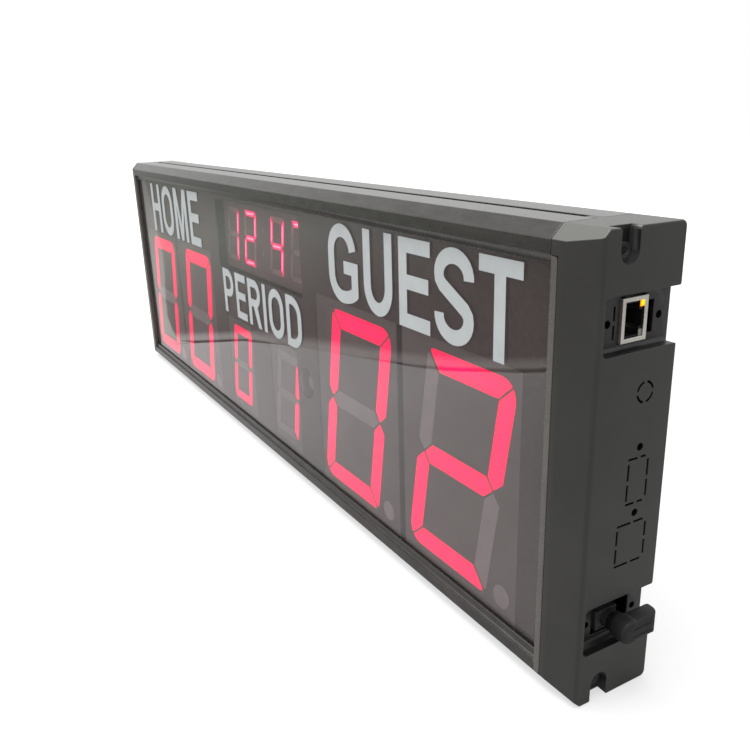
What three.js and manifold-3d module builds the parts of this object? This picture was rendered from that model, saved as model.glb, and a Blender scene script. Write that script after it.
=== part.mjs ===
// Electronic scoreboard with seven-segment digits behind a smoked panel.
// Millimetres, +Z up. The display faces -Y and its right-hand end faces +X.
// The origin is on the underside, in the middle of the length, on the flat land in front of the slot.

import * as THREE from 'three';
import { mergeVertices } from 'three/addons/utils/BufferGeometryUtils.js';
import Module from 'manifold-3d';

const wasm = await Module();
wasm.setup();

// Driving dimensions. A "drop" is measured from the outer top or bottom face towards the middle,
// and a depth is measured from the plane of the front lips towards the rear.
const overall = { length: 600, height: 190, depth: 42 };
const clearance = 0.3;
const slideFit = 0.2;
const overrun = 2;
const weldTolerance = 0.0001;

const frontPanel = { depth: 3, thickness: 2, endLap: 3.2, edgeDrop: 8.3 };
const maskFilm = { thickness: 0.2, gap: 0.15 };

const rail = {
  wall: 1.6,
  bevel: 5.2,
  lipEdge: 10.8,
  lipThickness: 1.6,
  ledgeEdge: 14.2,
  panelGrooveFloor: 8,
  panelRibThickness: 1.1,
  panelRibEdge: 11.5,
  slotFront: 21.1,
  slotWidth: 3.7,
  cavityWidth: 6.7,
  cavityHeight: 3,
  boardRibThickness: 1.2,
  boardRibEdge: 9.5,
  backGrooveFloor: 4,
  backRibThickness: 1.2,
  backRibEdge: 8,
  rearLipEdge: 10,
  cornerRadius: 2.5,
};

const screwPort = { depth: 14.75, drop: 8.4, radius: 1.7, wall: 1.5, neck: 3 };
const backPanel = { thickness: 1, inset: 2, edgeDrop: 4.4 };

const endCap = {
  length: 22.3,
  wall: 2.2,
  floorWall: 1.8,
  jointGap: 0.3,
  rimWidth: 3.8,
  slopeFall: 2.1,
  edgeRound: 2,
  faceRound: 0.8,
  bossRadius: 3.4,
  tongueLength: 6.2,
};
const sideStrip = { width: 3.4, thickness: 2.5, footDrop: 5.4, headDrop: 11, corner: 1.2 };
const endPlate = { length: 7, notchDepth: 2.6 };
const notch = { radius: 4.35, depth: 5, mouthRound: 1.5 };
const capScrew = {
  headRadius: 3.1,
  headHeight: 2.2,
  shankRadius: 1.45,
  length: 20,
  recessRadius: 1.3,
  recessDepth: 1.2,
};

// Sockets sit in two pockets of the right-hand end face.
const pocket = { front: 5, cornerRadius: 2, rearRound: 1.5, width: 21.2 };
const networkPocket = { drop: 33.6, portDrop: 33.9, depth: 4.8, filletRadius: 1.8 };
const powerPocket = { middle: 34.2, depth: 5.5, port: 33.2, axis: 32.2, filletRadius: 3.2 };
const portWindow = { front: 14, rear: 33.9, height: 12, screwFront: 11.2, screwRear: 36.8, screwRadius: 1.5 };
const socketBoard = {
  rear: 16.7,
  thickness: 1.6,
  innerInset: 32,
  outerInset: 7.6,
  foot: 20.5,
  headDrop: 20.5,
};
const boardScrew = {
  headRadius: 2.6,
  headHeight: 1.6,
  shankRadius: 1.1,
  length: 7,
  holeRadius: 1.4,
  pilotDepth: 9,
};
const boardBoss = { radius: 3, inset: 11.4, low: 58, highDrop: 64 };
const networkJack = { protrusion: 1.2, depth: 12.6, height: 16.4, length: 21, sheet: 0.5, rim: 1.6 };
const networkInsert = {
  recessDepth: 13,
  mouthWidth: 11.8,
  mouthReach: 6.9,
  keyWidth: 6,
  keyReach: 1.6,
  mouthInset: 2.1,
};
const networkContacts = { count: 8, pitch: 1.02, width: 0.5, height: 1.1, length: 7 };
const lampLens = { depth: 2.4, height: 3.4, length: 5 };
const powerJack = {
  inset: 0.4,
  depth: 11.3,
  height: 8.6,
  length: 14,
  boreDepth: 23.7,
  boreRadius: 3.1,
  boreLength: 10,
  frameWidth: 0.8,
  frameHeight: 0.3,
  collarHeight: 2.8,
  collarRadius: 3.6,
  grooveRadius: 3.85,
  grooveDepth: 0.5,
};
const powerPin = { radius: 1, setBack: 1.4, rootWall: 1.6 };

const plug = {
  sleeveRadius: 2.75,
  sleeveBore: 1.35,
  sleeveLength: 9,
  neckRadius: 4.4,
  neckLength: 2.5,
  bodyWidth: 7.9,
  bodyHeight: 9,
  bodyRound: 2,
  noseRadius: 5.3,
  tail: 15,
  tailRound: 5,
  grooveWidth: 0.5,
  grooveDepth: 0.5,
  grooveRise: 1.7,
  barbDepth: 0.7,
  cordBore: 2,
  cordBoreLength: 6,
};

// Thinned outlines in the end face, where other sockets can be broken out. Their middles are shares
// of the face between the two pockets.
const knockOut = { slot: 0.9, web: 1.6 };
const ringKnockOut = { middleShare: 0.84, depth: 27.5, radius: 3.9, gaps: 4, gapDegrees: 22 };
const cardKnockOut = {
  middleShare: 0.493,
  front: 22.2,
  rear: 32.3,
  height: 18.5,
  holeRadius: 1.6,
  holeGap: 4.3,
};
const squareKnockOut = { middleShare: 0.233, front: 18.8, rear: 33.8, height: 17.3 };

// Digit modules: case, lit face and the strokes of the seven segments. The large ones fill the room
// that the face leaves them, and their digits keep a margin inside the case.
const largeDigit = {
  caseDepth: 13.8,
  sideMargin: 3.7,
  endMargin: 6.7,
  stroke: 10.5,
  gap: 0.9,
  corner: 11,
  tip: 3.6,
  steps: 3,
  slant: 10,
  dotRadius: 5.7,
  dotInset: 11.6,
};
const periodDigit = {
  caseWidth: 50,
  caseHeight: 72,
  caseDepth: 13.8,
  width: 34.9,
  height: 59.4,
  stroke: 6.2,
  gap: 0.6,
  corner: 5.6,
  tip: 1.2,
  steps: 2,
  slant: 10.5,
};
const clockDigit = {
  caseWidth: 144,
  caseHeight: 50,
  caseDepth: 7.8,
  width: 21.4,
  height: 38.4,
  stroke: 4,
  gap: 0.5,
  corner: 3.6,
  tip: 0.8,
  steps: 1,
  slant: 10,
  colonRadius: 1.9,
  colonRise: 8,
};
const moduleShell = { face: 1.2, wall: 1.2, fillerThickness: 2, lightGap: 0.15, rearInset: 2 };

// Places on the face. An inset is measured from the end of the board, and a gap between cases.
const layout = {
  leftInset: 13.8,
  rightInset: 37.8,
  pairGap: 5,
  homeGap: 19.2,
  guestGap: 15.2,
  teamFootGap: 0.6,
  teamHeadDrop: 57.5,
  periodShift: -1.75,
  periodPitch: 80.7,
  periodFootGap: 5.1,
  clockPitch: 32.2,
  clockSplit: 45.6,
  clockDrop: 16.8,
};

const maskWindow = { margin: 1.5, clockMargin: 0.5, receiverGap: 2.7 };
const receiver = {
  shift: 70,
  height: 69.7,
  windowRadius: 9.8,
  bodyWidth: 9,
  bodyHeight: 12,
  bodyDepth: 9,
  lensRadius: 4,
};

const displayBoard = { depth: 19.7, thickness: 1.6, edgeDrop: 6.5, leftInset: 12, rightInset: 35 };
const controlBoard = {
  depth: 27,
  thickness: 1.6,
  rightInset: 54,
  width: 136,
  low: 52,
  high: 132,
  holeInset: 6,
};
const standoff = { radius: 2.7, bore: 1.4 };
const processor = { size: 14, thickness: 1.6, inset: 96, height: 92 };
const buzzer = { radius: 6, height: 8.6, portRadius: 1, inset: 116, rise: 68 };
const cellHolder = {
  radius: 12,
  height: 4.6,
  cellRadius: 10,
  cellThickness: 3.2,
  inset: 56,
  rise: 112,
  mouth: 8,
};
const capacitor = { radius: 5, height: 9, inset: 20, rise: 70 };
const regulator = { width: 10, length: 9.2, thickness: 4.5, tab: 1.2, inset: 20, rise: 90 };
const ribbon = { width: 12, thickness: 0.9, lap: 8, height: 92, bend: 4, lift: 0.6 };

// Derived places.
const halfLength = overall.length / 2;
const rightEnd = endPlaces(endCap.length, notch.depth);
const leftEnd = endPlaces(endPlate.length, endPlate.notchDepth);
const railReach = [-leftEnd.rail, rightEnd.rail];
const panelReach = [-leftEnd.joint - frontPanel.endLap, rightEnd.joint + frontPanel.endLap];
const panelRear = frontPanel.depth + frontPanel.thickness;
const maskDepth = panelRear + maskFilm.gap;
const maskRear = maskDepth + maskFilm.thickness;
const panelGroove = { front: frontPanel.depth - slideFit, rear: maskRear + maskFilm.gap };
const moduleFront = panelGroove.rear + maskFilm.gap - maskFilm.thickness / 2;
const landMiddle = (rail.bevel + rail.slotFront) / 2;
const networkPlace = {
  ...networkPocket,
  middle: overall.height - networkPocket.drop,
  port: overall.height - networkPocket.portDrop,
};
const bossHeights = [boardBoss.low, overall.height - boardBoss.highDrop];
const controlRight = halfLength - controlBoard.rightInset;
const controlLeft = controlRight - controlBoard.width;
const displayReach = [displayBoard.leftInset - halfLength, halfLength - displayBoard.rightInset];
const face = facePlaces();
const teamDigit = fittedDigit(largeDigit, face.teamWidth, face.teamHeight);

// Colours and finishes.
const finish = {
  anodised: { color: 0x4b4c4a, roughness: 0.42, metalness: 0.75 },
  moulded: { color: 0x353634, roughness: 0.62, metalness: 0 },
  strip: { color: 0x5a5957, roughness: 0.5, metalness: 0 },
  smoked: { color: 0x3a3534, roughness: 0.06, metalness: 0, transparent: true, opacity: 0.45 },
  film: { color: 0x3c3937, roughness: 0.7, metalness: 0 },
  backSheet: { color: 0x2f3030, roughness: 0.55, metalness: 0.3 },
  caseBlack: { color: 0x3a3838, roughness: 0.8, metalness: 0 },
  litRed: { color: 0xff3d6b, roughness: 0.4, metalness: 0, emissive: 0xff2a55 },
  board: { color: 0x1d4a2e, roughness: 0.5, metalness: 0 },
  steel: { color: 0x9a9b9a, roughness: 0.35, metalness: 0.9 },
  nickel: { color: 0xc9c6bb, roughness: 0.3, metalness: 0.9 },
  black: { color: 0x151515, roughness: 0.5, metalness: 0 },
  gold: { color: 0xc9a348, roughness: 0.3, metalness: 0.9 },
  amber: { color: 0xffa400, roughness: 0.3, metalness: 0, emissive: 0xff9a00 },
  clear: { color: 0xb9bdb2, roughness: 0.3, metalness: 0 },
  brass: { color: 0xb49a55, roughness: 0.35, metalness: 0.9 },
  sleeve: { color: 0x23395a, roughness: 0.4, metalness: 0 },
  grey: { color: 0x8b8d8e, roughness: 0.6, metalness: 0 },
};

// Distances from the middle of the board to what meets at one of its ends.
function endPlaces(length, notchDepth) {
  const joint = halfLength - length;
  const halfGap = endCap.jointGap / 2;
  return { joint, rail: joint - halfGap, start: joint + halfGap, notchDepth };
}

// The two pairs of large modules share what the clock and the gaps leave of the face.
function facePlaces() {
  const left = layout.leftInset - halfLength;
  const right = halfLength - layout.rightInset;
  const gaps = layout.homeGap + layout.guestGap + layout.pairGap * 2;
  const teamWidth = (right - left - clockDigit.caseWidth - gaps) / 4;
  const pairWidth = teamWidth * 2 + layout.pairGap;
  const clock = left + pairWidth + layout.homeGap + clockDigit.caseWidth / 2;
  const low = rail.panelRibEdge + layout.teamFootGap;
  const teamHeight = overall.height - layout.teamHeadDrop - low;
  return {
    home: left + pairWidth / 2,
    guest: right - pairWidth / 2,
    teamWidth,
    teamHeight,
    pairWidth,
    teamRise: low + teamHeight / 2,
    clock,
    clockRise: overall.height - layout.clockDrop - clockDigit.caseHeight / 2,
    period: clock + layout.periodShift,
    periodRise: rail.panelRibEdge + layout.periodFootGap + periodDigit.caseHeight / 2,
    receiver: clock + receiver.shift,
  };
}

function leanOf(size) {
  return Math.tan(THREE.MathUtils.degToRad(size.slant));
}

function fittedDigit(size, caseWidth, caseHeight) {
  const height = caseHeight - size.endMargin * 2;
  const width = caseWidth - size.sideMargin * 2 - height * leanOf(size);
  return { ...size, caseWidth, caseHeight, width, height };
}

// Geometry helpers.

function toSolid(geometry) {
  const bare = geometry.clone();
  bare.deleteAttribute('normal');
  bare.deleteAttribute('uv');
  const welded = mergeVertices(bare, weldTolerance);
  return new wasm.Manifold(
    new wasm.Mesh({
      numProp: 3,
      vertProperties: new Float32Array(welded.attributes.position.array),
      triVerts: new Uint32Array(welded.index.array),
    }),
  );
}

function toGeometry(solid) {
  const mesh = solid.getMesh();
  const geometry = new THREE.BufferGeometry();
  geometry.setAttribute('position', new THREE.BufferAttribute(new Float32Array(mesh.vertProperties), 3));
  geometry.setIndex(new THREE.BufferAttribute(new Uint32Array(mesh.triVerts), 1));
  geometry.computeVertexNormals();
  return geometry;
}

function join(...geometries) {
  return geometries.map(toSolid).reduce((sum, solid) => sum.add(solid));
}

function cut(body, ...tools) {
  return tools.reduce((rest, tool) => rest.subtract(toSolid(tool)), body);
}

function block(x, y, z) {
  const box = new THREE.BoxGeometry(x[1] - x[0], y[1] - y[0], z[1] - z[0]);
  return box.translate((x[0] + x[1]) / 2, (y[0] + y[1]) / 2, (z[0] + z[1]) / 2);
}

function span(middle, size) {
  return [middle - size / 2, middle + size / 2];
}

function shapeFrom(points) {
  return new THREE.Shape(points.map(([a, b]) => new THREE.Vector2(a, b)));
}

// A (y, z) outline drawn out along X.
function alongX(shape, x, options = {}) {
  const solid = new THREE.ExtrudeGeometry(shape, { depth: x[1] - x[0], bevelEnabled: false, ...options });
  const turn = new THREE.Matrix4().set(0, 0, 1, x[0], 1, 0, 0, 0, 0, 1, 0, 0, 0, 0, 0, 1);
  return solid.applyMatrix4(turn);
}

// An (x, z) outline drawn out along Y.
function alongY(shape, y) {
  const solid = new THREE.ExtrudeGeometry(shape, { depth: y[1] - y[0], bevelEnabled: false });
  const turn = new THREE.Matrix4().set(1, 0, 0, 0, 0, 0, -1, y[1], 0, 1, 0, 0, 0, 0, 0, 1);
  return solid.applyMatrix4(turn);
}

// An (x, y) outline drawn out along Z.
function alongZ(shape, z) {
  const solid = new THREE.ExtrudeGeometry(shape, { depth: z[1] - z[0], bevelEnabled: false });
  return solid.translate(0, 0, z[0]);
}

function rodX(radius, x, y, z, sides = 16) {
  const rod = new THREE.CylinderGeometry(radius, radius, x[1] - x[0], sides);
  return rod.rotateZ(Math.PI / 2).translate((x[0] + x[1]) / 2, y, z);
}

function rodY(radius, x, y, z, sides = 16) {
  const rod = new THREE.CylinderGeometry(radius, radius, y[1] - y[0], sides);
  return rod.translate(x, (y[0] + y[1]) / 2, z);
}

// Points of an arc, in degrees.
function arc(middle, radius, from, to, steps) {
  const points = [];
  for (let step = 0; step <= steps; step += 1) {
    const angle = THREE.MathUtils.degToRad(from + ((to - from) * step) / steps);
    points.push([middle[0] + radius * Math.cos(angle), middle[1] + radius * Math.sin(angle)]);
  }
  return points;
}

// Points round a full circle.
function circle(middle, radius, sides) {
  return arc(middle, radius, 0, 360 - 360 / sides, sides - 1);
}

function meshOf(name, geometry, look) {
  const material = new THREE.MeshStandardMaterial(finish[look]);
  const mesh = new THREE.Mesh(geometry, material);
  mesh.name = name;
  return mesh;
}

// Rails.

function railProfile() {
  const { depth } = overall;
  const cavityMiddle = rail.slotFront + rail.slotWidth / 2;
  const [cavityFront, cavityRear] = span(cavityMiddle, rail.cavityWidth);
  const cavityFloor = rail.wall + rail.cavityHeight;
  const housingFloor = cavityFloor + rail.wall;
  const boardFront = displayBoard.depth - clearance;
  const boardRear = displayBoard.depth + displayBoard.thickness + clearance;
  const backFront = depth - backPanel.inset - backPanel.thickness - slideFit;
  const backRear = depth - backPanel.inset + slideFit;
  const portOuter = screwPort.radius + screwPort.wall;
  const neckAngle = THREE.MathUtils.radToDeg(Math.asin(screwPort.neck / 2 / portOuter));
  return [
    [rail.bevel, 0],
    [rail.slotFront, 0],
    [rail.slotFront, rail.wall],
    [cavityFront, rail.wall],
    [cavityFront, cavityFloor],
    [cavityRear, cavityFloor],
    [cavityRear, rail.wall],
    [rail.slotFront + rail.slotWidth, rail.wall],
    [rail.slotFront + rail.slotWidth, 0],
    ...arc([depth - rail.cornerRadius, rail.cornerRadius], rail.cornerRadius, -90, 0, 5),
    [depth, rail.rearLipEdge],
    [backRear, rail.rearLipEdge],
    [backRear, rail.backGrooveFloor],
    [backFront, rail.backGrooveFloor],
    [backFront, rail.backRibEdge],
    [backFront - rail.backRibThickness, rail.backRibEdge],
    [backFront - rail.backRibThickness, rail.wall],
    [cavityRear + rail.wall, rail.wall],
    [cavityRear + rail.wall, housingFloor],
    [boardRear + rail.boardRibThickness, housingFloor],
    [boardRear + rail.boardRibThickness, rail.boardRibEdge],
    [boardRear, rail.boardRibEdge],
    [boardRear, housingFloor],
    [boardFront, housingFloor],
    [boardFront, rail.boardRibEdge],
    [boardFront - rail.boardRibThickness, rail.boardRibEdge],
    [boardFront - rail.boardRibThickness, housingFloor],
    [cavityFront - rail.wall, housingFloor],
    [cavityFront - rail.wall, rail.wall],
    [screwPort.depth + screwPort.neck / 2, rail.wall],
    ...arc([screwPort.depth, screwPort.drop], portOuter, -90 + neckAngle, 270 - neckAngle, 12),
    [screwPort.depth - screwPort.neck / 2, rail.wall],
    [panelGroove.rear + rail.panelRibThickness, rail.wall],
    [panelGroove.rear + rail.panelRibThickness, rail.panelRibEdge],
    [panelGroove.rear, rail.panelRibEdge],
    [panelGroove.rear, rail.panelGrooveFloor],
    [panelGroove.front, rail.panelGrooveFloor],
    [panelGroove.front, rail.ledgeEdge],
    [rail.lipThickness, rail.ledgeEdge],
    [rail.lipThickness, rail.lipEdge],
    [0, rail.lipEdge],
    [0, rail.bevel],
  ];
}

function railGeometry(toHeight) {
  const outline = railProfile().map(([depth, drop]) => [depth, toHeight(drop)]);
  const body = toSolid(alongX(shapeFrom(outline), railReach));
  const through = [-halfLength, halfLength];
  const port = rodX(screwPort.radius, through, screwPort.depth, toHeight(screwPort.drop), 12);
  return toGeometry(cut(body, port));
}

const fromBottom = (drop) => drop;
const fromTop = (drop) => overall.height - drop;

function makeRails() {
  return [
    meshOf('top_rail', railGeometry(fromTop), 'anodised'),
    meshOf('bottom_rail', railGeometry(fromBottom), 'anodised'),
  ];
}

// Panels.

function makePanels() {
  const panelHeights = [frontPanel.edgeDrop, overall.height - frontPanel.edgeDrop];
  const sheet = block(panelReach, [frontPanel.depth, panelRear], panelHeights);
  const backRear = overall.depth - backPanel.inset;
  const backHeights = [backPanel.edgeDrop, overall.height - backPanel.edgeDrop];
  const back = block(railReach, [backRear - backPanel.thickness, backRear], backHeights);
  return [
    meshOf('front_panel', sheet, 'smoked'),
    makeMask(panelHeights),
    meshOf('back_panel', back, 'backSheet'),
  ];
}

function inset([low, high], by) {
  return [low + by, high - by];
}

function makeMask(panelHeights) {
  const film = block(panelReach, [maskDepth, maskRear], panelHeights);
  const through = [maskDepth - overrun, maskRear + overrun];
  const { margin, clockMargin } = maskWindow;
  const teamHeights = inset(span(face.teamRise, face.teamHeight), margin);
  const periodHeights = inset(span(face.periodRise, periodDigit.caseHeight), margin);
  const [tens, ones] = pairPlaces(face.period, layout.periodPitch);
  const tensAcross = inset(span(tens, periodDigit.caseWidth), margin);
  const onesAcross = [
    ones - periodDigit.caseWidth / 2 + margin,
    face.receiver - receiver.windowRadius - maskWindow.receiverGap,
  ];
  const clockAcross = inset(span(face.clock, clockDigit.caseWidth), clockMargin);
  const clockHeights = inset(span(face.clockRise, clockDigit.caseHeight), clockMargin);
  const teams = [face.home, face.guest].map((x) => inset(span(x, face.pairWidth), margin));
  const windows = [
    ...teams.map((across) => block(across, through, teamHeights)),
    block(tensAcross, through, periodHeights),
    block(onesAcross, through, periodHeights),
    block(clockAcross, through, clockHeights),
    rodY(receiver.windowRadius, face.receiver, through, receiver.height, 32),
  ];
  return meshOf('mask_film', toGeometry(cut(toSolid(film), ...windows)), 'film');
}

function pairPlaces(middle, pitch) {
  return [middle - pitch / 2, middle + pitch / 2];
}

// Ends. Both are modelled at the right-hand end: the deep cap with the sockets, and the thin plate
// that is then turned over to the left-hand end.

function sideOutline(inset) {
  const { depth, height } = overall;
  const lead = rail.bevel + inset * (Math.SQRT2 - 1);
  const radius = rail.cornerRadius - Math.min(inset, rail.cornerRadius / 2);
  const rear = depth - inset - radius;
  return shapeFrom([
    [inset, lead],
    [lead, inset],
    ...arc([rear, inset + radius], radius, -90, 0, 4),
    ...arc([rear, height - inset - radius], radius, 0, 90, 4),
    [lead, height - inset],
    [inset, height - lead],
  ]);
}

function capPlan() {
  const rimEnd = stripEnd(rightEnd) + endCap.rimWidth;
  const shape = new THREE.Shape();
  shape.moveTo(rightEnd.start, 0);
  shape.lineTo(rimEnd, 0);
  shape.lineTo(halfLength - endCap.edgeRound, endCap.slopeFall);
  const turnEnd = endCap.slopeFall + endCap.edgeRound;
  shape.quadraticCurveTo(halfLength, endCap.slopeFall, halfLength, turnEnd);
  shape.lineTo(halfLength, overall.depth);
  shape.lineTo(rightEnd.start, overall.depth);
  shape.closePath();
  return shape;
}

function platePlan() {
  const shape = new THREE.Shape();
  shape.moveTo(leftEnd.start, 0);
  shape.lineTo(halfLength - endCap.edgeRound, 0);
  shape.quadraticCurveTo(halfLength, 0, halfLength, endCap.edgeRound);
  shape.lineTo(halfLength, overall.depth);
  shape.lineTo(leftEnd.start, overall.depth);
  shape.closePath();
  return shape;
}

// Where the seat for the strip ends, at either end.
function stripEnd(end) {
  return end.joint + sideStrip.width + clearance;
}

function endShell(end, plan) {
  const rounded = {
    bevelEnabled: true,
    bevelThickness: endCap.faceRound,
    bevelSize: endCap.faceRound,
    bevelOffset: -endCap.faceRound,
    bevelSegments: 2,
  };
  const body = alongX(sideOutline(0), [end.joint - overrun, halfLength - endCap.faceRound], rounded);
  const upright = { depth: overall.height, bevelEnabled: false, curveSegments: 5 };
  return toSolid(body).intersect(toSolid(new THREE.ExtrudeGeometry(plan, upright)));
}

function capCavity() {
  const grooveWall = panelGroove.rear + rail.panelRibThickness;
  const seatEnd = stripEnd(rightEnd);
  const inner = halfLength - endCap.wall;
  const plan = shapeFrom([
    [rightEnd.joint - overrun, grooveWall],
    [seatEnd + endCap.wall, grooveWall],
    [seatEnd + endCap.wall, endCap.wall],
    [seatEnd + endCap.rimWidth, endCap.wall],
    [inner, endCap.wall + endCap.slopeFall],
    [inner, overall.depth - endCap.wall],
    [rightEnd.joint - overrun, overall.depth - endCap.wall],
  ]);
  return cavityOf(plan, rightEnd);
}

function plateCavity() {
  const grooveWall = panelGroove.rear + rail.panelRibThickness;
  const across = [leftEnd.joint - overrun, halfLength - endCap.wall];
  const [start, inner] = across;
  const rear = overall.depth - endCap.wall;
  const corners = [[start, grooveWall], [inner, grooveWall], [inner, rear], [start, rear]];
  return cavityOf(shapeFrom(corners), leftEnd);
}

// What both a plan and the side outline leave hollow.
function cavityOf(plan, end) {
  const hollow = toSolid(alongZ(plan, [0, overall.height]));
  const sides = alongX(sideOutline(endCap.wall), [end.joint - overrun * 2, halfLength]);
  return hollow.intersect(toSolid(sides));
}

function pocketRange(place, grow) {
  return span(place.middle, pocket.width + grow * 2);
}

// Material that stays inside the hollow: walls round the pockets and notches, and the screw bosses.
function capCores() {
  const wall = endCap.floorWall;
  const rear = overall.depth;
  const cores = screwCores(rightEnd);
  for (const place of [networkPlace, powerPocket]) {
    const deep = [halfLength - place.depth - wall, halfLength];
    cores.push(block(deep, [pocket.front - wall, rear], pocketRange(place, wall)));
  }
  const boardFront = socketBoard.rear - socketBoard.thickness;
  for (const height of bossHeights) {
    cores.push(rodY(boardBoss.radius, halfLength - boardBoss.inset, [0, boardFront - clearance], height, 12));
  }
  return cores;
}

function screwCores(end) {
  const wall = endCap.floorWall;
  const cores = [];
  for (const toHeight of [fromBottom, fromTop]) {
    const axis = toHeight(screwPort.drop);
    const floor = halfLength - end.notchDepth - wall;
    const across = span(screwPort.depth, (notch.radius + wall) * 2);
    const heights = [toHeight(0), toHeight(screwPort.drop + notch.radius + wall)].sort((a, b) => a - b);
    cores.push(block([floor, halfLength], across, heights));
    cores.push(rodX(endCap.bossRadius, [end.start, floor + wall], screwPort.depth, axis));
  }
  return cores;
}

// The pocket is open to the rear, where its two edges are rounded over.
function pocketCut(place) {
  const [low, high] = pocketRange(place, 0);
  const radius = pocket.cornerRadius;
  const turn = pocket.rearRound;
  const start = overall.depth - turn;
  const rear = overall.depth + overrun;
  const outline = shapeFrom([
    ...arc([pocket.front + radius, low + radius], radius, 180, 270, 4),
    ...arc([start, low - turn], turn, 90, 0, 3),
    [rear, low - turn],
    [rear, high + turn],
    ...arc([start, high + turn], turn, 360, 270, 3),
    ...arc([pocket.front + radius, high - radius], radius, 90, 180, 4),
  ]);
  return alongX(outline, [halfLength - place.depth, halfLength + overrun]);
}

// Notches for the screw heads. Their mouths are rounded over at the outer face.
function notchCuts(end) {
  const tools = [];
  for (const toHeight of [fromBottom, fromTop]) {
    const axis = toHeight(screwPort.drop);
    const deep = [halfLength - end.notchDepth, halfLength + overrun];
    const outline = notchOutline().map(([depth, drop]) => [depth, toHeight(drop)]);
    tools.push(rodX(notch.radius, deep, screwPort.depth, axis, 24));
    tools.push(alongX(shapeFrom(outline), deep));
    tools.push(rodX(screwPort.radius, [end.start - overrun, halfLength], screwPort.depth, axis, 12));
  }
  return tools;
}

function notchOutline() {
  const [front, rear] = span(screwPort.depth, notch.radius * 2);
  const turn = notch.mouthRound;
  return [
    [front - turn, -overrun],
    ...arc([front - turn, turn], turn, -90, 0, 3),
    [front, screwPort.drop],
    [rear, screwPort.drop],
    ...arc([rear + turn, turn], turn, 180, 270, 3),
    [rear + turn, -overrun],
  ];
}

// Seats for the front panel's end and for the strip that covers it. Between the two ribs that hold
// the panel, the space behind it is open.
function frontSeats(end) {
  const seatEnd = stripEnd(end);
  const openEnd = Math.min(seatEnd, halfLength - endCap.wall * 2) + endCap.wall;
  const panelSeat = [panelGroove.front - overrun, panelGroove.rear];
  const panelEdge = frontPanel.edgeDrop - clearance;
  const stripSeat = [-overrun, sideStrip.thickness + clearance];
  const stripHeights = [sideStrip.footDrop - slideFit, overall.height - sideStrip.headDrop + slideFit];
  const start = end.joint - overrun;
  const open = inset([0, overall.height], rail.panelRibEdge);
  return [
    block([start, seatEnd], [panelGroove.front, panelSeat[1]], inset([0, overall.height], panelEdge)),
    block([start, openEnd], [panelGroove.rear - slideFit, overall.depth / 2], open),
    block([start, seatEnd], stripSeat, stripHeights),
  ];
}

function boardPilots() {
  const boardFront = socketBoard.rear - socketBoard.thickness;
  const deep = [boardFront - boardScrew.pilotDepth, boardFront];
  const x = halfLength - boardBoss.inset;
  return bossHeights.map((height) => rodY(boardScrew.shankRadius, x, deep, height, 10));
}

function betweenPockets(share) {
  const [, low] = pocketRange(powerPocket, 0);
  const [high] = pocketRange(networkPlace, 0);
  return low + (high - low) * share;
}

// A dashed slot round a rectangle, with a web at each corner and in the middle of each side.
function dashedRectangle(place) {
  const through = [halfLength - endCap.wall - overrun, halfLength + overrun];
  const half = knockOut.slot / 2;
  const tools = [];
  const middleY = (place.front + place.rear) / 2;
  const middleZ = betweenPockets(place.middleShare);
  const [low, high] = span(middleZ, place.height);
  for (const edge of [low, high]) {
    const across = [edge - half, edge + half];
    tools.push(block(through, [place.front - half, middleY - knockOut.web / 2], across));
    tools.push(block(through, [middleY + knockOut.web / 2, place.rear - knockOut.web], across));
  }
  for (const edge of [place.front, place.rear]) {
    const across = [edge - half, edge + half];
    tools.push(block(through, across, [low + knockOut.web, middleZ - knockOut.web / 2]));
    tools.push(block(through, across, [middleZ + knockOut.web / 2, high - knockOut.web]));
  }
  return tools;
}

function dashedRing() {
  const through = [halfLength - endCap.wall - overrun, halfLength + overrun];
  const middle = [ringKnockOut.depth, betweenPockets(ringKnockOut.middleShare)];
  const step = 360 / ringKnockOut.gaps;
  const tools = [];
  for (let index = 0; index < ringKnockOut.gaps; index += 1) {
    const from = index * step + ringKnockOut.gapDegrees / 2;
    const to = (index + 1) * step - ringKnockOut.gapDegrees / 2;
    const outer = arc(middle, ringKnockOut.radius + knockOut.slot / 2, from, to, 5);
    const inner = arc(middle, ringKnockOut.radius - knockOut.slot / 2, to, from, 5);
    tools.push(alongX(shapeFrom([...outer, ...inner]), through));
  }
  return tools;
}

function knockOutCuts() {
  const through = [halfLength - endCap.wall - overrun, halfLength + overrun];
  const middle = (cardKnockOut.front + cardKnockOut.rear) / 2;
  const cardSpan = span(betweenPockets(cardKnockOut.middleShare), cardKnockOut.height);
  const holes = inset(cardSpan, -cardKnockOut.holeGap);
  return [
    ...dashedRing(),
    ...dashedRectangle(cardKnockOut),
    ...dashedRectangle(squareKnockOut),
    ...holes.map((height) => rodX(cardKnockOut.holeRadius, through, middle, height, 12)),
  ];
}

// Screw holes in the floor of a socket pocket, and the window that is broken out for the socket.
function portScrewCuts(place) {
  const through = portThrough(place);
  const screws = [portWindow.screwFront, portWindow.screwRear];
  return screws.map((depth) => rodX(portWindow.screwRadius, through, depth, place.port, 12));
}

function portThrough(place) {
  const floor = halfLength - place.depth;
  return [floor - endCap.floorWall - overrun, floor + overrun];
}

function powerWindow() {
  const depths = [portWindow.front, portWindow.rear];
  return block(portThrough(powerPocket), depths, span(powerPocket.port, portWindow.height));
}

// The network socket fills most of its window, so the front edge is still only slotted there.
function networkWindow() {
  const through = portThrough(networkPlace);
  const [low, high] = span(networkPlace.port, portWindow.height);
  const slot = [portWindow.front, portWindow.front + knockOut.slot];
  const web = span(networkPlace.port, knockOut.web);
  const [front, rear] = networkShieldDepths();
  const heights = span(networkPlace.middle, networkJack.height + clearance * 2);
  return [
    block(through, slot, [low, web[0]]),
    block(through, slot, [web[1], high]),
    block(through, [front, portWindow.rear], [low, high]),
    block(through, [front - clearance, rear + clearance], heights),
  ];
}

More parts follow.
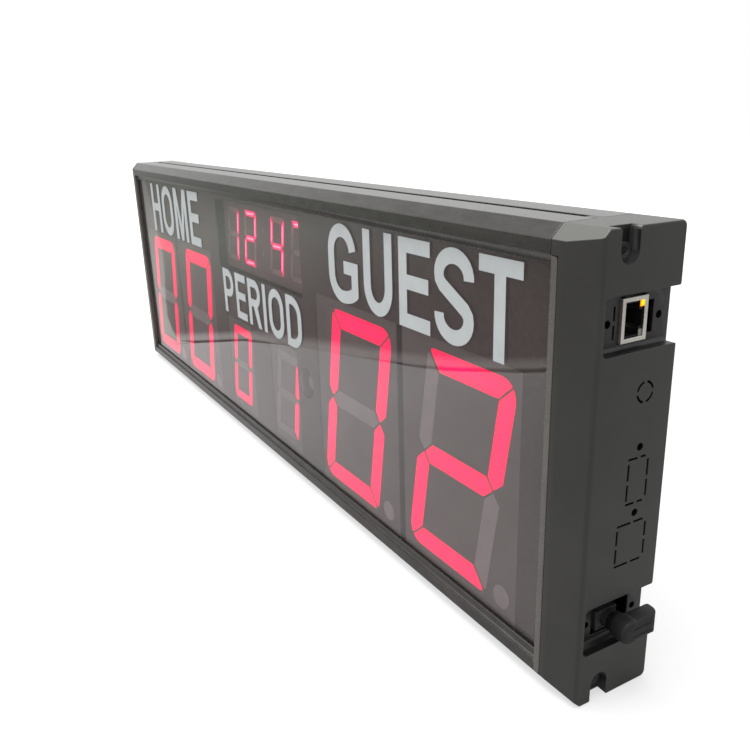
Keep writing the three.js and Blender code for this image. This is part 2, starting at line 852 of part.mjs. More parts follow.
function tongues(end) {
  const cavityMiddle = rail.slotFront + rail.slotWidth / 2;
  const reach = [end.joint - endCap.tongueLength, end.start + overrun];
  const parts = [];
  for (const toHeight of [fromBottom, fromTop]) {
    const order = (a, b) => [toHeight(a), toHeight(b)].sort((low, high) => low - high);
    const mouth = span(cavityMiddle, rail.slotWidth - slideFit * 2);
    const foot = span(cavityMiddle, rail.cavityWidth - clearance * 2);
    const footTop = rail.wall + clearance;
    parts.push(block(reach, mouth, order(0, footTop + slideFit)));
    parts.push(block(reach, foot, order(footTop, rail.wall + rail.cavityHeight - clearance)));
  }
  return parts;
}

// The curved bottom of a socket pocket.
function pocketFillet(place) {
  const [low] = pocketRange(place, 0);
  const radius = place.filletRadius;
  const floor = halfLength - place.depth;
  const curve = arc([floor + radius, low + radius], radius, 270, 180, 5);
  const shape = shapeFrom([[floor, low], ...curve]);
  return alongY(shape, [pocket.front, overall.depth - pocket.rearRound]);
}

function capGeometry() {
  const cavity = cut(capCavity(), ...capCores());
  const hollow = endShell(rightEnd, capPlan()).subtract(cavity);
  const cuts = [
    pocketCut(networkPlace),
    pocketCut(powerPocket),
    ...notchCuts(rightEnd),
    ...frontSeats(rightEnd),
    ...boardPilots(),
    ...knockOutCuts(),
    ...portScrewCuts(networkPlace),
    ...portScrewCuts(powerPocket),
    powerWindow(),
    ...networkWindow(),
  ];
  const cutShell = cut(hollow, ...cuts);
  const fillets = [networkPlace, powerPocket].map(pocketFillet);
  return toGeometry(cutShell.add(join(...tongues(rightEnd), ...fillets)));
}

function plateGeometry() {
  const cavity = cut(plateCavity(), ...screwCores(leftEnd));
  const hollow = endShell(leftEnd, platePlan()).subtract(cavity);
  const cutShell = cut(hollow, ...notchCuts(leftEnd), ...frontSeats(leftEnd));
  return toGeometry(cutShell.add(join(...tongues(leftEnd))));
}

function stripGeometry(end) {
  const outer = end.joint + sideStrip.width;
  const low = sideStrip.footDrop;
  const high = overall.height - sideStrip.headDrop;
  const r = sideStrip.corner;
  const outline = shapeFrom([
    [end.start, low],
    ...arc([outer - r, low + r], r, 270, 360, 3),
    ...arc([outer - r, high - r], r, 0, 90, 3),
    [end.start, high],
  ]);
  return alongY(outline, [0, sideStrip.thickness]);
}

function capScrewGeometry(end, toHeight) {
  const axis = toHeight(screwPort.drop);
  const floor = halfLength - end.notchDepth + clearance;
  const head = rodX(capScrew.headRadius, [floor, floor + capScrew.headHeight], screwPort.depth, axis);
  const deep = [floor - capScrew.length, floor + clearance];
  const shank = rodX(capScrew.shankRadius, deep, screwPort.depth, axis, 10);
  const top = [floor + capScrew.headHeight - capScrew.recessDepth, floor + capScrew.headHeight + overrun];
  const recess = rodX(capScrew.recessRadius, top, screwPort.depth, axis, 6);
  return toGeometry(cut(join(head, shank), recess));
}

// The left-hand end is turned half round about the front-to-rear axis.
function turnedOver(meshes) {
  const inner = new THREE.Group();
  inner.position.z = -overall.height / 2;
  inner.add(...meshes);
  const outer = new THREE.Group();
  outer.position.z = overall.height / 2;
  outer.rotation.y = Math.PI;
  outer.add(inner);
  return outer;
}

function makeEnds() {
  const right = [
    meshOf('end_cap_right', capGeometry(), 'moulded'),
    meshOf('side_strip_right', stripGeometry(rightEnd), 'strip'),
    meshOf('cap_screw_right_top', capScrewGeometry(rightEnd, fromTop), 'steel'),
    meshOf('cap_screw_right_bottom', capScrewGeometry(rightEnd, fromBottom), 'steel'),
  ];
  const left = [
    meshOf('end_cap_left', plateGeometry(), 'moulded'),
    meshOf('side_strip_left', stripGeometry(leftEnd), 'strip'),
    meshOf('cap_screw_left_top', capScrewGeometry(leftEnd, fromBottom), 'steel'),
    meshOf('cap_screw_left_bottom', capScrewGeometry(leftEnd, fromTop), 'steel'),
  ];
  return [...right, turnedOver(left)];
}

// Seven-segment digits. Outlines are drawn upright in the module's own (x, z) plane, then slanted.

function halfSegments(size) {
  const right = size.width / 2;
  const top = size.height / 2;
  const { stroke, corner, gap, steps } = size;
  const half = gap / 2;
  const mitre = half * Math.SQRT2;
  const inner = right - stroke;
  const innerTop = top - stroke;
  const middle = right - stroke / 2;
  const shoulder = stroke / 2 + half;
  const spread = THREE.MathUtils.radToDeg(Math.asin(half / corner));
  const bend = [right - corner, top - corner];
  const upper = [
    ...arc(bend, corner, 45 + spread, 90, steps),
    ...roundedTip([-right + mitre, top], [1, 0], [Math.SQRT1_2, -Math.SQRT1_2], size.tip),
    [-inner + mitre, innerTop],
    [inner - mitre, innerTop],
  ];
  const upperRight = [
    ...arc(bend, corner, 0, 45 - spread, steps),
    [inner, innerTop - mitre],
    [inner, shoulder],
    [middle, half],
    [right, shoulder],
  ];
  const lowerRight = [
    [right, -shoulder],
    [middle, -half],
    [inner, -shoulder],
    [inner, -innerTop + mitre],
    ...roundedTip([right, -top + mitre], [-Math.SQRT1_2, Math.SQRT1_2], [0, 1], size.tip),
  ];
  return [upper, upperRight, lowerRight];
}

// Three points that blunt a sharp corner, from the edge it is reached by to the edge that leaves it.
function roundedTip([x, z], back, onward, reach) {
  const start = [x + back[0] * reach, z + back[1] * reach];
  const end = [x + onward[0] * reach, z + onward[1] * reach];
  const crown = [(start[0] + 2 * x + end[0]) / 4, (start[1] + 2 * z + end[1]) / 4];
  return [start, crown, end];
}

function segmentOutlines(size) {
  const halves = halfSegments(size);
  const turned = halves.map((outline) => outline.map(([x, z]) => [-x, -z]));
  const rise = size.stroke / 2;
  const tip = size.width / 2 - rise + size.gap / 2 - size.gap * Math.SQRT2;
  const middle = [
    [tip, 0],
    [tip - rise, rise],
    [rise - tip, rise],
    [-tip, 0],
    [rise - tip, -rise],
    [tip - rise, -rise],
  ];
  return [...halves, ...turned, middle];
}

function slanted(outline, size, across) {
  const lean = leanOf(size);
  return outline.map(([x, z]) => [x + z * lean + across, z]);
}

// Moves each edge of an outline inwards, for the gap between a lit block and its opening.
function insetOutline(outline, distance) {
  const points = outline.map(([x, z]) => new THREE.Vector2(x, z));
  const turnsLeft = THREE.ShapeUtils.area(points) > 0 ? 1 : -1;
  const sharpestShare = 0.5;
  return points.map((point, index) => {
    const before = points[(index + points.length - 1) % points.length];
    const after = points[(index + 1) % points.length];
    const first = point.clone().sub(before).normalize();
    const second = after.clone().sub(point).normalize();
    const normalA = new THREE.Vector2(-first.y, first.x).multiplyScalar(turnsLeft);
    const normalB = new THREE.Vector2(-second.y, second.x).multiplyScalar(turnsLeft);
    const bisector = normalA.clone().add(normalB).normalize();
    const reach = distance / Math.max(bisector.dot(normalA), sharpestShare);
    return [point.x + bisector.x * reach, point.y + bisector.y * reach];
  });
}

function moduleOutlines(size, places) {
  const outlines = [];
  for (const across of places) {
    outlines.push(...segmentOutlines(size).map((outline) => slanted(outline, size, across)));
  }
  if (size.dotRadius) {
    const dot = [size.caseWidth / 2 - size.dotInset, size.dotInset - size.caseHeight / 2];
    outlines.push(circle(dot, size.dotRadius, 16));
  }
  if (size.colonRadius) {
    for (const rise of [-size.colonRise, size.colonRise]) {
      outlines.push(circle([rise * leanOf(size), rise], size.colonRadius, 8));
    }
  }
  return outlines;
}

function moduleCase(size, places, front) {
  const rear = front + size.caseDepth;
  const shell = moduleShell;
  const box = block(span(0, size.caseWidth), [front, rear], span(0, size.caseHeight));
  const hollowAcross = span(0, size.caseWidth - shell.wall * 2);
  const hollowHigh = span(0, size.caseHeight - shell.wall * 2);
  const hollow = block(hollowAcross, [front + shell.face, rear + overrun], hollowHigh);
  const through = [front - overrun, front + shell.face + overrun];
  const openings = moduleOutlines(size, places).map((outline) => alongY(shapeFrom(outline), through));
  return toGeometry(cut(toSolid(box), hollow, ...openings));
}

function moduleFiller(size, places, front) {
  const shell = moduleShell;
  const plateFront = front + shell.face + clearance;
  const across = span(0, size.caseWidth - (shell.wall + clearance) * 2);
  const high = span(0, size.caseHeight - (shell.wall + clearance) * 2);
  const rear = front + size.caseDepth - shell.rearInset;
  const plate = toSolid(block(across, [plateFront, rear], high));
  const blocks = moduleOutlines(size, places).map((outline) => {
    const inset = insetOutline(outline, shell.lightGap);
    return alongY(shapeFrom(inset), [front, plateFront + shell.fillerThickness / 2]);
  });
  return toGeometry(blocks.reduce((body, lit) => body.add(toSolid(lit)), plate));
}

function makeModule(name, size, places, middle, height, front) {
  const group = new THREE.Group();
  group.position.set(middle, 0, height);
  group.add(meshOf(`${name}_case`, moduleCase(size, places, front), 'caseBlack'));
  group.add(meshOf(`${name}_segments`, moduleFiller(size, places, front), 'litRed'));
  return group;
}

function makeDigits() {
  const groups = [];
  const teamPitch = face.teamWidth + layout.pairGap;
  const pairs = [
    ['home', teamDigit, pairPlaces(face.home, teamPitch), face.teamRise],
    ['guest', teamDigit, pairPlaces(face.guest, teamPitch), face.teamRise],
    ['period', periodDigit, pairPlaces(face.period, layout.periodPitch), face.periodRise],
  ];
  for (const [name, size, [tens, ones], rise] of pairs) {
    groups.push(makeModule(`${name}_tens`, size, [0], tens, rise, moduleFront));
    groups.push(makeModule(`${name}_ones`, size, [0], ones, rise, moduleFront));
  }
  const near = layout.clockSplit / 2;
  const far = near + layout.clockPitch;
  const front = displayBoard.depth - clearance - clockDigit.caseDepth;
  const places = [-far, -near, near, far];
  groups.push(makeModule('clock', clockDigit, places, face.clock, face.clockRise, front));
  return groups;
}

// Boards and what they carry.

function makeDisplayBoard() {
  const depths = [displayBoard.depth, displayBoard.depth + displayBoard.thickness];
  const heights = [displayBoard.edgeDrop, overall.height - displayBoard.edgeDrop];
  const board = block(displayReach, depths, heights);
  const front = displayBoard.depth - clearance;
  const [low, high] = span(receiver.height, receiver.bodyHeight);
  const across = span(face.receiver, receiver.bodyWidth);
  const body = block(across, [front - receiver.bodyDepth, front], [low, high]);
  const lens = rodY(receiver.lensRadius, face.receiver, [
    front - receiver.bodyDepth - receiver.lensRadius / 2,
    front - receiver.bodyDepth / 2,
  ], receiver.height);
  return [
    meshOf('display_board', board, 'board'),
    meshOf('ir_receiver', toGeometry(join(body, lens)), 'black'),
  ];
}

function controlHoles() {
  const { low, high, holeInset } = controlBoard;
  const places = [];
  for (const x of inset([controlLeft, controlRight], holeInset)) {
    for (const z of inset([low, high], holeInset)) {
      places.push([x, z]);
    }
  }
  return places;
}

function makeControlBoard() {
  const front = controlBoard.depth;
  const rear = front + controlBoard.thickness;
  const boardRear = displayBoard.depth + displayBoard.thickness;
  const plate = block([controlLeft, controlRight], [front, rear], [controlBoard.low, controlBoard.high]);
  const through = [front - overrun, rear + overrun];
  const holes = controlHoles().map(([x, z]) => rodY(boardScrew.holeRadius, x, through, z, 10));
  const meshes = [meshOf('control_board', toGeometry(cut(toSolid(plate), ...holes)), 'board')];
  controlHoles().forEach(([x, z], index) => {
    const pillar = rodY(standoff.radius, x, [boardRear + clearance, front - clearance], z, 12);
    const bore = rodY(standoff.bore, x, [boardRear - overrun, front + overrun], z, 10);
    meshes.push(meshOf(`control_standoff_${index + 1}`, toGeometry(cut(toSolid(pillar), bore)), 'brass'));
    const length = Math.min(boardScrew.length, rear - boardRear - clearance);
    const screw = boardScrewGeometry(x, rear + clearance, z, length);
    meshes.push(meshOf(`control_screw_${index + 1}`, screw, 'steel'));
  });
  return meshes;
}

// A pan-head screw that points towards the front, with its head resting at the given depth.
function boardScrewGeometry(x, seat, z, length) {
  const head = rodY(boardScrew.headRadius, x, [seat, seat + boardScrew.headHeight], z, 12);
  const deep = [seat - length, seat + boardScrew.headHeight / 2];
  const shank = rodY(boardScrew.shankRadius - slideFit / 2, x, deep, z, 10);
  const slot = block(
    span(x, boardScrew.headRadius * 2 + overrun),
    [seat + boardScrew.headHeight / 2, seat + boardScrew.headHeight + overrun],
    span(z, boardScrew.headHeight / 2),
  );
  return toGeometry(cut(join(head, shank), slot));
}

function makeControlParts() {
  const seat = controlBoard.depth + controlBoard.thickness + clearance;
  const [chipX, buzzerX, canX, regulatorX] = [processor, buzzer, capacitor, regulator].map(
    (piece) => controlRight - piece.inset,
  );
  const chip = block(
    span(chipX, processor.size),
    [seat, seat + processor.thickness],
    span(processor.height, processor.size),
  );
  const drum = rodY(buzzer.radius, buzzerX, [seat, seat + buzzer.height], buzzer.rise, 20);
  const portDeep = [seat + buzzer.height / 2, seat + buzzer.height + overrun];
  const hole = rodY(buzzer.portRadius, buzzerX, portDeep, buzzer.rise, 10);
  const can = rodY(capacitor.radius, canX, [seat, seat + capacitor.height], capacitor.rise, 20);
  const across = span(regulatorX, regulator.width);
  const body = block(across, [seat, seat + regulator.thickness], span(regulator.rise, regulator.length));
  const tabHeights = [regulator.rise, regulator.rise + regulator.length];
  const tab = block(across, [seat, seat + regulator.tab], tabHeights);
  return [
    meshOf('processor_chip', chip, 'black'),
    meshOf('buzzer', toGeometry(cut(toSolid(drum), hole)), 'black'),
    meshOf('filter_capacitor', can, 'sleeve'),
    meshOf('voltage_regulator', toGeometry(join(body, tab)), 'black'),
    ...makeCoinCell(seat),
  ];
}

function makeCoinCell(seat) {
  const { rise } = cellHolder;
  const x = controlRight - cellHolder.inset;
  const rim = [seat, seat + cellHolder.height];
  const floor = seat + cellHolder.height - cellHolder.cellThickness - clearance;
  const cup = rodY(cellHolder.radius, x, rim, rise, 24);
  const nest = rodY(cellHolder.cellRadius + clearance, x, [floor, rim[1] + overrun], rise, 24);
  const mouthAcross = span(x, cellHolder.mouth);
  const mouth = block(mouthAcross, [floor, rim[1] + overrun], [rise, rise + cellHolder.radius + overrun]);
  const cell = rodY(cellHolder.cellRadius, x, [floor + clearance, rim[1]], rise, 24);
  return [
    meshOf('coin_cell_holder', toGeometry(cut(toSolid(cup), nest, mouth)), 'black'),
    meshOf('coin_cell', cell, 'nickel'),
  ];
}

function networkShieldDepths() {
  const front = socketBoard.rear + clearance;
  return [front, front + networkJack.depth];
}

function makeSocketBoard() {
  const across = [halfLength - socketBoard.innerInset, halfLength - socketBoard.outerInset];
  const depths = [socketBoard.rear - socketBoard.thickness, socketBoard.rear];
  const plate = block(across, depths, [socketBoard.foot, overall.height - socketBoard.headDrop]);
  const x = halfLength - boardBoss.inset;
  const through = [depths[0] - overrun, depths[1] + overrun];
  const holes = bossHeights.map((height) => rodY(boardScrew.holeRadius, x, through, height, 10));
  const seat = socketBoard.rear + clearance;
  const screws = bossHeights.map((height) => boardScrewGeometry(x, seat, height, boardScrew.length));
  return [
    meshOf('socket_board', toGeometry(cut(toSolid(plate), ...holes)), 'board'),
    meshOf('socket_board_screw_bottom', screws[0], 'steel'),
    meshOf('socket_board_screw_top', screws[1], 'steel'),
  ];
}

// Network socket, turned so that its latch side is at the rear.
function makeNetworkJack() {
  const front = halfLength - networkPlace.depth + networkJack.protrusion;
  const reach = [front - networkJack.length, front];
  const depths = networkShieldDepths();
  const heights = span(networkPlace.middle, networkJack.height);
  const { sheet, rim } = networkJack;
  const hollow = block(inset(reach, sheet), inset(depths, sheet), inset(heights, sheet));
  const mouth = block([front - overrun, front + overrun], inset(depths, rim), inset(heights, rim));
  const shield = cut(toSolid(block(reach, depths, heights)), hollow, mouth);
  const skin = sheet + slideFit;
  const body = block(inset(reach, skin), inset(depths, skin), inset(heights, skin));
  const insert = cut(toSolid(body), ...insertCuts(reach[1] - skin, depths, heights));
  return [
    meshOf('network_jack_shield', toGeometry(shield), 'nickel'),
    meshOf('network_jack_insert', toGeometry(insert), 'black'),
    makeContacts(reach[1] - skin, depths),
    ...makeLamps(reach[1] - skin, depths, heights),
  ];
}

function socketMouth(depths) {
  const front = depths[0] + networkInsert.mouthInset;
  return [front, front + networkInsert.mouthReach];
}

function insertCuts(face, depths, heights) {
  const deep = [face - networkInsert.recessDepth, face + overrun];
  const mouth = socketMouth(depths);
  const key = [mouth[1] - overrun, mouth[1] + networkInsert.keyReach];
  const cuts = [
    block(deep, mouth, span(networkPlace.middle, networkInsert.mouthWidth)),
    block(deep, key, span(networkPlace.middle, networkInsert.keyWidth)),
  ];
  for (const range of lampRanges(depths, heights)) {
    const grow = ([low, high]) => [low - slideFit, high + overrun];
    const sink = [face - lampLens.length - slideFit, face + overrun];
    const sides = range.low ? [range.heights[0] - overrun, range.heights[1] + slideFit] : grow(range.heights);
    cuts.push(block(sink, grow(range.depths), sides));
  }
  return cuts;
}

function lampRanges(depths, heights) {
  const rear = depths[1] - networkJack.sheet - slideFit;
  const low = heights[0] + networkJack.sheet + slideFit;
  const high = heights[1] - networkJack.sheet - slideFit;
  return [
    { low: false, depths: [rear - lampLens.depth, rear], heights: [high - lampLens.height, high] },
    { low: true, depths: [rear - lampLens.depth, rear], heights: [low, low + lampLens.height] },
  ];
}

function makeLamps(face, depths, heights) {
  const [lit, dark] = lampRanges(depths, heights);
  const reach = [face - lampLens.length, face];
  return [
    meshOf('link_lamp', block(reach, lit.depths, lit.heights), 'amber'),
    meshOf('status_lamp', block(reach, dark.depths, dark.heights), 'clear'),
  ];
}

// The eight sprung contacts, on one strip at the back of the recess.
function makeContacts(face, depths) {
  const back = face - networkInsert.recessDepth + clearance;
  const [front] = socketMouth(depths);
  const seat = front + slideFit;
  const bar = block(
    [back, back + networkContacts.height],
    [seat, seat + networkContacts.height],
    span(networkPlace.middle, networkContacts.pitch * networkContacts.count),
  );
  const parts = [bar];
  for (let index = 0; index < networkContacts.count; index += 1) {
    const height = networkPlace.middle + (index - (networkContacts.count - 1) / 2) * networkContacts.pitch;
    parts.push(contactGeometry(back, seat, height));
  }
  return meshOf('network_jack_contacts', toGeometry(join(...parts)), 'gold');
}

function contactGeometry(back, seat, height) {
  const rise = networkContacts.height;
  const shape = shapeFrom([
    [back, seat],
    [back + networkContacts.length, seat],
    [back + networkContacts.length, seat + rise / 2],
    [back + rise, seat + rise * 2],
    [back, seat + rise * 2],
  ]);
  return alongZ(shape, span(height, networkContacts.width));
}

function powerJackReach() {
  const front = halfLength - powerPocket.depth - powerJack.inset;
  return [front - powerJack.length, front];
}

// A frame and a collar stand up from the face, with a groove round the collar.
function makePowerJack() {
  const [back, outer] = powerJackReach();
  const front = socketBoard.rear + clearance;
  const { boreDepth, frameWidth, frameHeight, grooveRadius, collarHeight, collarRadius } = powerJack;
  const height = powerPocket.axis;
  const top = [outer - frameHeight, outer + collarHeight + overrun];
  const depths = [front, front + powerJack.depth];
  const inside = [depths[0] + frameWidth, depths[1] - frameWidth];
  const sink = block(top, inside, span(height, powerJack.height - frameWidth * 2));
  const boreEnd = outer - powerJack.boreLength;
  const groove = rodX(grooveRadius, [top[0] - powerJack.grooveDepth, top[1]], boreDepth, height, 24);
  const collar = rodX(collarRadius, [boreEnd, outer + collarHeight], boreDepth, height, 24);
  const bore = rodX(powerJack.boreRadius, [boreEnd, top[1]], boreDepth, height, 20);
  const root = back + powerPin.rootWall;
  const pinRoot = rodX(powerPin.radius + slideFit, [root, outer], boreDepth, height, 12);
  const pin = rodX(powerPin.radius, [root + slideFit, outer - powerPin.setBack], boreDepth, height, 12);
  const body = cut(toSolid(block([back, outer], depths, span(height, powerJack.height))), sink, groove);
  const jack = cut(body.add(toSolid(collar)), bore, pinRoot);
  return [meshOf('power_jack', toGeometry(jack), 'black'), meshOf('power_jack_pin', pin, 'nickel')];
}

// Right-angle power plug, pushed home. Its outer rear corner is rounded in plan.
function makePlug() {
  const seat = powerJackReach()[1] + powerJack.collarHeight;
  const y = powerJack.boreDepth;
  const z = powerPocket.axis;
  const neckEnd = seat + clearance + plug.neckLength;
  const bodyReach = [neckEnd - clearance, neckEnd + plug.bodyWidth];
  const neck = rodX(plug.neckRadius, [seat + clearance, neckEnd + plug.bodyRound], y, z, 20);
  const tail = roundedBar(bodyReach, [y, y + plug.tail], span(z, plug.bodyHeight));
  const nose = domedNose(bodyReach, y, z);
  const tailEnd = y + plug.tail;
  const middle = (bodyReach[0] + bodyReach[1]) / 2;
  const root = rodX(plug.sleeveRadius - plug.barbDepth, [seat - overrun, neckEnd], y, z, 12);
  const cordHole = rodY(plug.cordBore, middle, [tailEnd - plug.cordBoreLength, tailEnd + overrun], z, 12);
  const rises = [z - plug.grooveRise, z + plug.grooveRise];
  const grooves = rises.map((rise) => gripGroove(bodyReach[1], [y, tailEnd + overrun], rise));
  const corner = tailCorner(bodyReach[1], tailEnd, span(z, plug.bodyHeight + overrun));
  const body = cut(join(neck, tail, nose), root, cordHole, ...grooves, corner);
  return [meshOf('plug_body', toGeometry(body), 'black'), makeSleeve(seat, y, z, neckEnd)];
}

function tailCorner(outer, end, heights) {
  const r = plug.tailRound;
  const curve = arc([outer - r, end - r], r, 0, 90, 6);
  const far = [outer + overrun, end + overrun];
  return alongZ(shapeFrom([...curve, [outer - r, far[1]], far, [far[0], end - r]]), heights);
}

function roundedBar(reach, depths, heights) {
  const r = plug.bodyRound;
  const outline = shapeFrom([
    ...arc([reach[0] + r, heights[0] + r], r, 180, 270, 4),
    ...arc([reach[1] - r, heights[0] + r], r, 270, 360, 4),
    ...arc([reach[1] - r, heights[1] - r], r, 0, 90, 4),
    ...arc([reach[0] + r, heights[1] - r], r, 90, 180, 4),
  ]);
  return alongY(outline, depths);
}

function domedNose(reach, y, z) {
  const r = plug.bodyRound;
  const radius = plug.noseRadius;
  const profile = [
    [0, reach[0]],
    [radius - r / 2, reach[0]],
    [radius, reach[0] + r / 2],
    ...arc([radius - r, reach[1] - r], r, 0, 90, 4),
    [0, reach[1]],
  ];
  const dome = new THREE.LatheGeometry(profile.map(([a, b]) => new THREE.Vector2(a, b)), 24);
  return dome.rotateZ(-Math.PI / 2).translate(0, y, z);
}

function gripGroove(outer, depths, z) {
  const across = [outer - plug.grooveDepth, outer + overrun];
  return block(across, depths, span(z, plug.grooveWidth));
}

function makeSleeve(seat, y, z, neckEnd) {
  const reach = [seat - plug.sleeveLength, seat + clearance / 2];
  const tube = toSolid(rodX(plug.sleeveRadius, reach, y, z, 20));
  const rootReach = [reach[1] - overrun / 2, neckEnd - clearance];
  const root = rodX(plug.sleeveRadius - plug.barbDepth - slideFit, rootReach, y, z, 12);
  const bore = rodX(plug.sleeveBore, [reach[0] - overrun, reach[1] - overrun / 2], y, z, 12);
  return meshOf('plug_sleeve', toGeometry(cut(tube.add(toSolid(root)), bore)), 'nickel');
}

// Flat ribbon from the socket board, past the display board's end, to the control board.
function makeRibbon() {
  const socketEdge = halfLength - socketBoard.innerInset;
  const lift = clearance + ribbon.thickness / 2;
  const low = socketBoard.rear + lift;
  const high = controlBoard.depth + controlBoard.thickness + lift;
  const turn = (displayReach[1] + socketEdge) / 2;
  const route = [
    [socketEdge + ribbon.lap, low],
    [socketEdge + ribbon.lift, low],
    [turn + ribbon.lift, low + ribbon.bend],
    [turn, high - ribbon.bend],
    [turn - ribbon.bend, high],
    [controlRight - ribbon.lap, high],
  ];
  const strip = alongZ(stripShape(route, ribbon.thickness), span(ribbon.height, ribbon.width));
  return meshOf('socket_ribbon', strip, 'grey');
}

// A strip of even thickness round a line of points.
function stripShape(route, thickness) {
  const points = route.map(([x, y]) => new THREE.Vector2(x, y));
  const side = (sign) => points.map((point, index) => {
    const before = points[Math.max(index - 1, 0)];
    const after = points[Math.min(index + 1, points.length - 1)];
    const along = after.clone().sub(before).normalize();
    return [point.x - along.y * sign * thickness / 2, point.y + along.x * sign * thickness / 2];
  });
  return shapeFrom([...side(1), ...side(-1).reverse()]);
}

const board = new THREE.Group();
board.position.y = -landMiddle;
board.add(
  ...makeRails(),
  ...makePanels(),
  ...makeEnds(),
  ...makeDigits(),
  ...makeDisplayBoard(),
  ...makeControlBoard(),
  ...makeControlParts(),
  ...makeSocketBoard(),
  ...makeNetworkJack(),
  ...makePowerJack(),
  ...makePlug(),
  makeRibbon(),
);

const scoreboard = new THREE.Group();
scoreboard.add(board);

export default scoreboard;
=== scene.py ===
import math

import bmesh
import bpy
from mathutils import Matrix, Vector


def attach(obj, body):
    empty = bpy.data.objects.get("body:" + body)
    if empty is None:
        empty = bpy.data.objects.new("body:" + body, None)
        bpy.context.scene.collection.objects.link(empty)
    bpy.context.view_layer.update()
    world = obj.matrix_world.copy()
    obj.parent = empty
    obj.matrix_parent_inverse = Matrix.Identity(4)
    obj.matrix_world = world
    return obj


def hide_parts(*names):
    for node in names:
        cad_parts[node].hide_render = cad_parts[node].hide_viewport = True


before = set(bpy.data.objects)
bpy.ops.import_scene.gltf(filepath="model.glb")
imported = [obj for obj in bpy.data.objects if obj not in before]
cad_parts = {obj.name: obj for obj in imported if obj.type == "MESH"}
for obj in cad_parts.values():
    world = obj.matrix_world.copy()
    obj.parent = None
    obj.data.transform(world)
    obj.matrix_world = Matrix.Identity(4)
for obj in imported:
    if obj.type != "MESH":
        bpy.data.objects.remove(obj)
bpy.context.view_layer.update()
scene = bpy.context.scene
mm = 0.001
print("frame loaded:", len(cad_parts), "nodes")


# Materials. Colours are written as screen values, 0 to 255.
def linear(colour):
    channels = []
    for value in colour:
        share = value / 255
        channels.append(share / 12.92 if share <= 0.04045 else ((share + 0.055) / 1.055) ** 2.4)
    return (*channels, 1.0)


def startMaterial(name):
    material = bpy.data.materials.new(name)
    material.use_nodes = True
    tree = material.node_tree
    tree.nodes.clear()
    output = tree.nodes.new("ShaderNodeOutputMaterial")
    shader = tree.nodes.new("ShaderNodeBsdfPrincipled")
    tree.links.new(shader.outputs["BSDF"], output.inputs["Surface"])
    return material, tree, shader


def objectNoise(tree, scale, stretch=(1, 1, 1), detail=3.0):
    coords = tree.nodes.new("ShaderNodeTexCoord")
    mapping = tree.nodes.new("ShaderNodeMapping")
    mapping.inputs["Scale"].default_value = stretch
    noise = tree.nodes.new("ShaderNodeTexNoise")
    noise.inputs["Scale"].default_value = scale
    noise.inputs["Detail"].default_value = detail
    tree.links.new(coords.outputs["Object"], mapping.inputs["Vector"])
    tree.links.new(mapping.outputs["Vector"], noise.inputs["Vector"])
    return noise.outputs["Fac"]


def colourRamp(tree, factor, stops):
    ramp = tree.nodes.new("ShaderNodeValToRGB")
    elements = ramp.color_ramp.elements
    for index, (position, colour) in enumerate(stops):
        element = elements[index] if index < 2 else elements.new(position)
        element.position = position
        element.color = linear(colour)
    tree.links.new(factor, ramp.inputs["Fac"])
    return ramp.outputs["Color"]


def spread(tree, factor, low, high, fromLow=0.3, fromHigh=0.7):
    ranger = tree.nodes.new("ShaderNodeMapRange")
    ranger.inputs["From Min"].default_value = fromLow
    ranger.inputs["From Max"].default_value = fromHigh
    ranger.inputs["To Min"].default_value = low
    ranger.inputs["To Max"].default_value = high
    tree.links.new(factor, ranger.inputs["Value"])
    return ranger.outputs["Result"]


# Places of a colour mix's sockets, after those for its other kinds of value.
mixShare, mixFrom, mixTo, mixResult = 0, 6, 7, 2


def addBump(tree, shader, height, strength, depth):
    bump = tree.nodes.new("ShaderNodeBump")
    bump.inputs["Strength"].default_value = strength
    bump.inputs["Distance"].default_value = depth
    tree.links.new(height, bump.inputs["Height"])
    tree.links.new(bump.outputs["Normal"], shader.inputs["Normal"])


def letLightPass(tree, shader, colour):
    # Shadow and diffuse rays go through, tinted, so nothing behind is shaded by it.
    passing = tree.nodes.new("ShaderNodeBsdfTransparent")
    passing.inputs["Color"].default_value = linear(colour)
    path = tree.nodes.new("ShaderNodeLightPath")
    either = tree.nodes.new("ShaderNodeMath")
    either.operation = "MAXIMUM"
    tree.links.new(path.outputs["Is Shadow Ray"], either.inputs[0])
    tree.links.new(path.outputs["Is Diffuse Ray"], either.inputs[1])
    mix = tree.nodes.new("ShaderNodeMixShader")
    tree.links.new(either.outputs[0], mix.inputs[0])
    tree.links.new(shader.outputs["BSDF"], mix.inputs[1])
    tree.links.new(passing.outputs["BSDF"], mix.inputs[2])
    output = next(node for node in tree.nodes if node.type == "OUTPUT_MATERIAL")
    tree.links.new(mix.outputs["Shader"], output.inputs["Surface"])


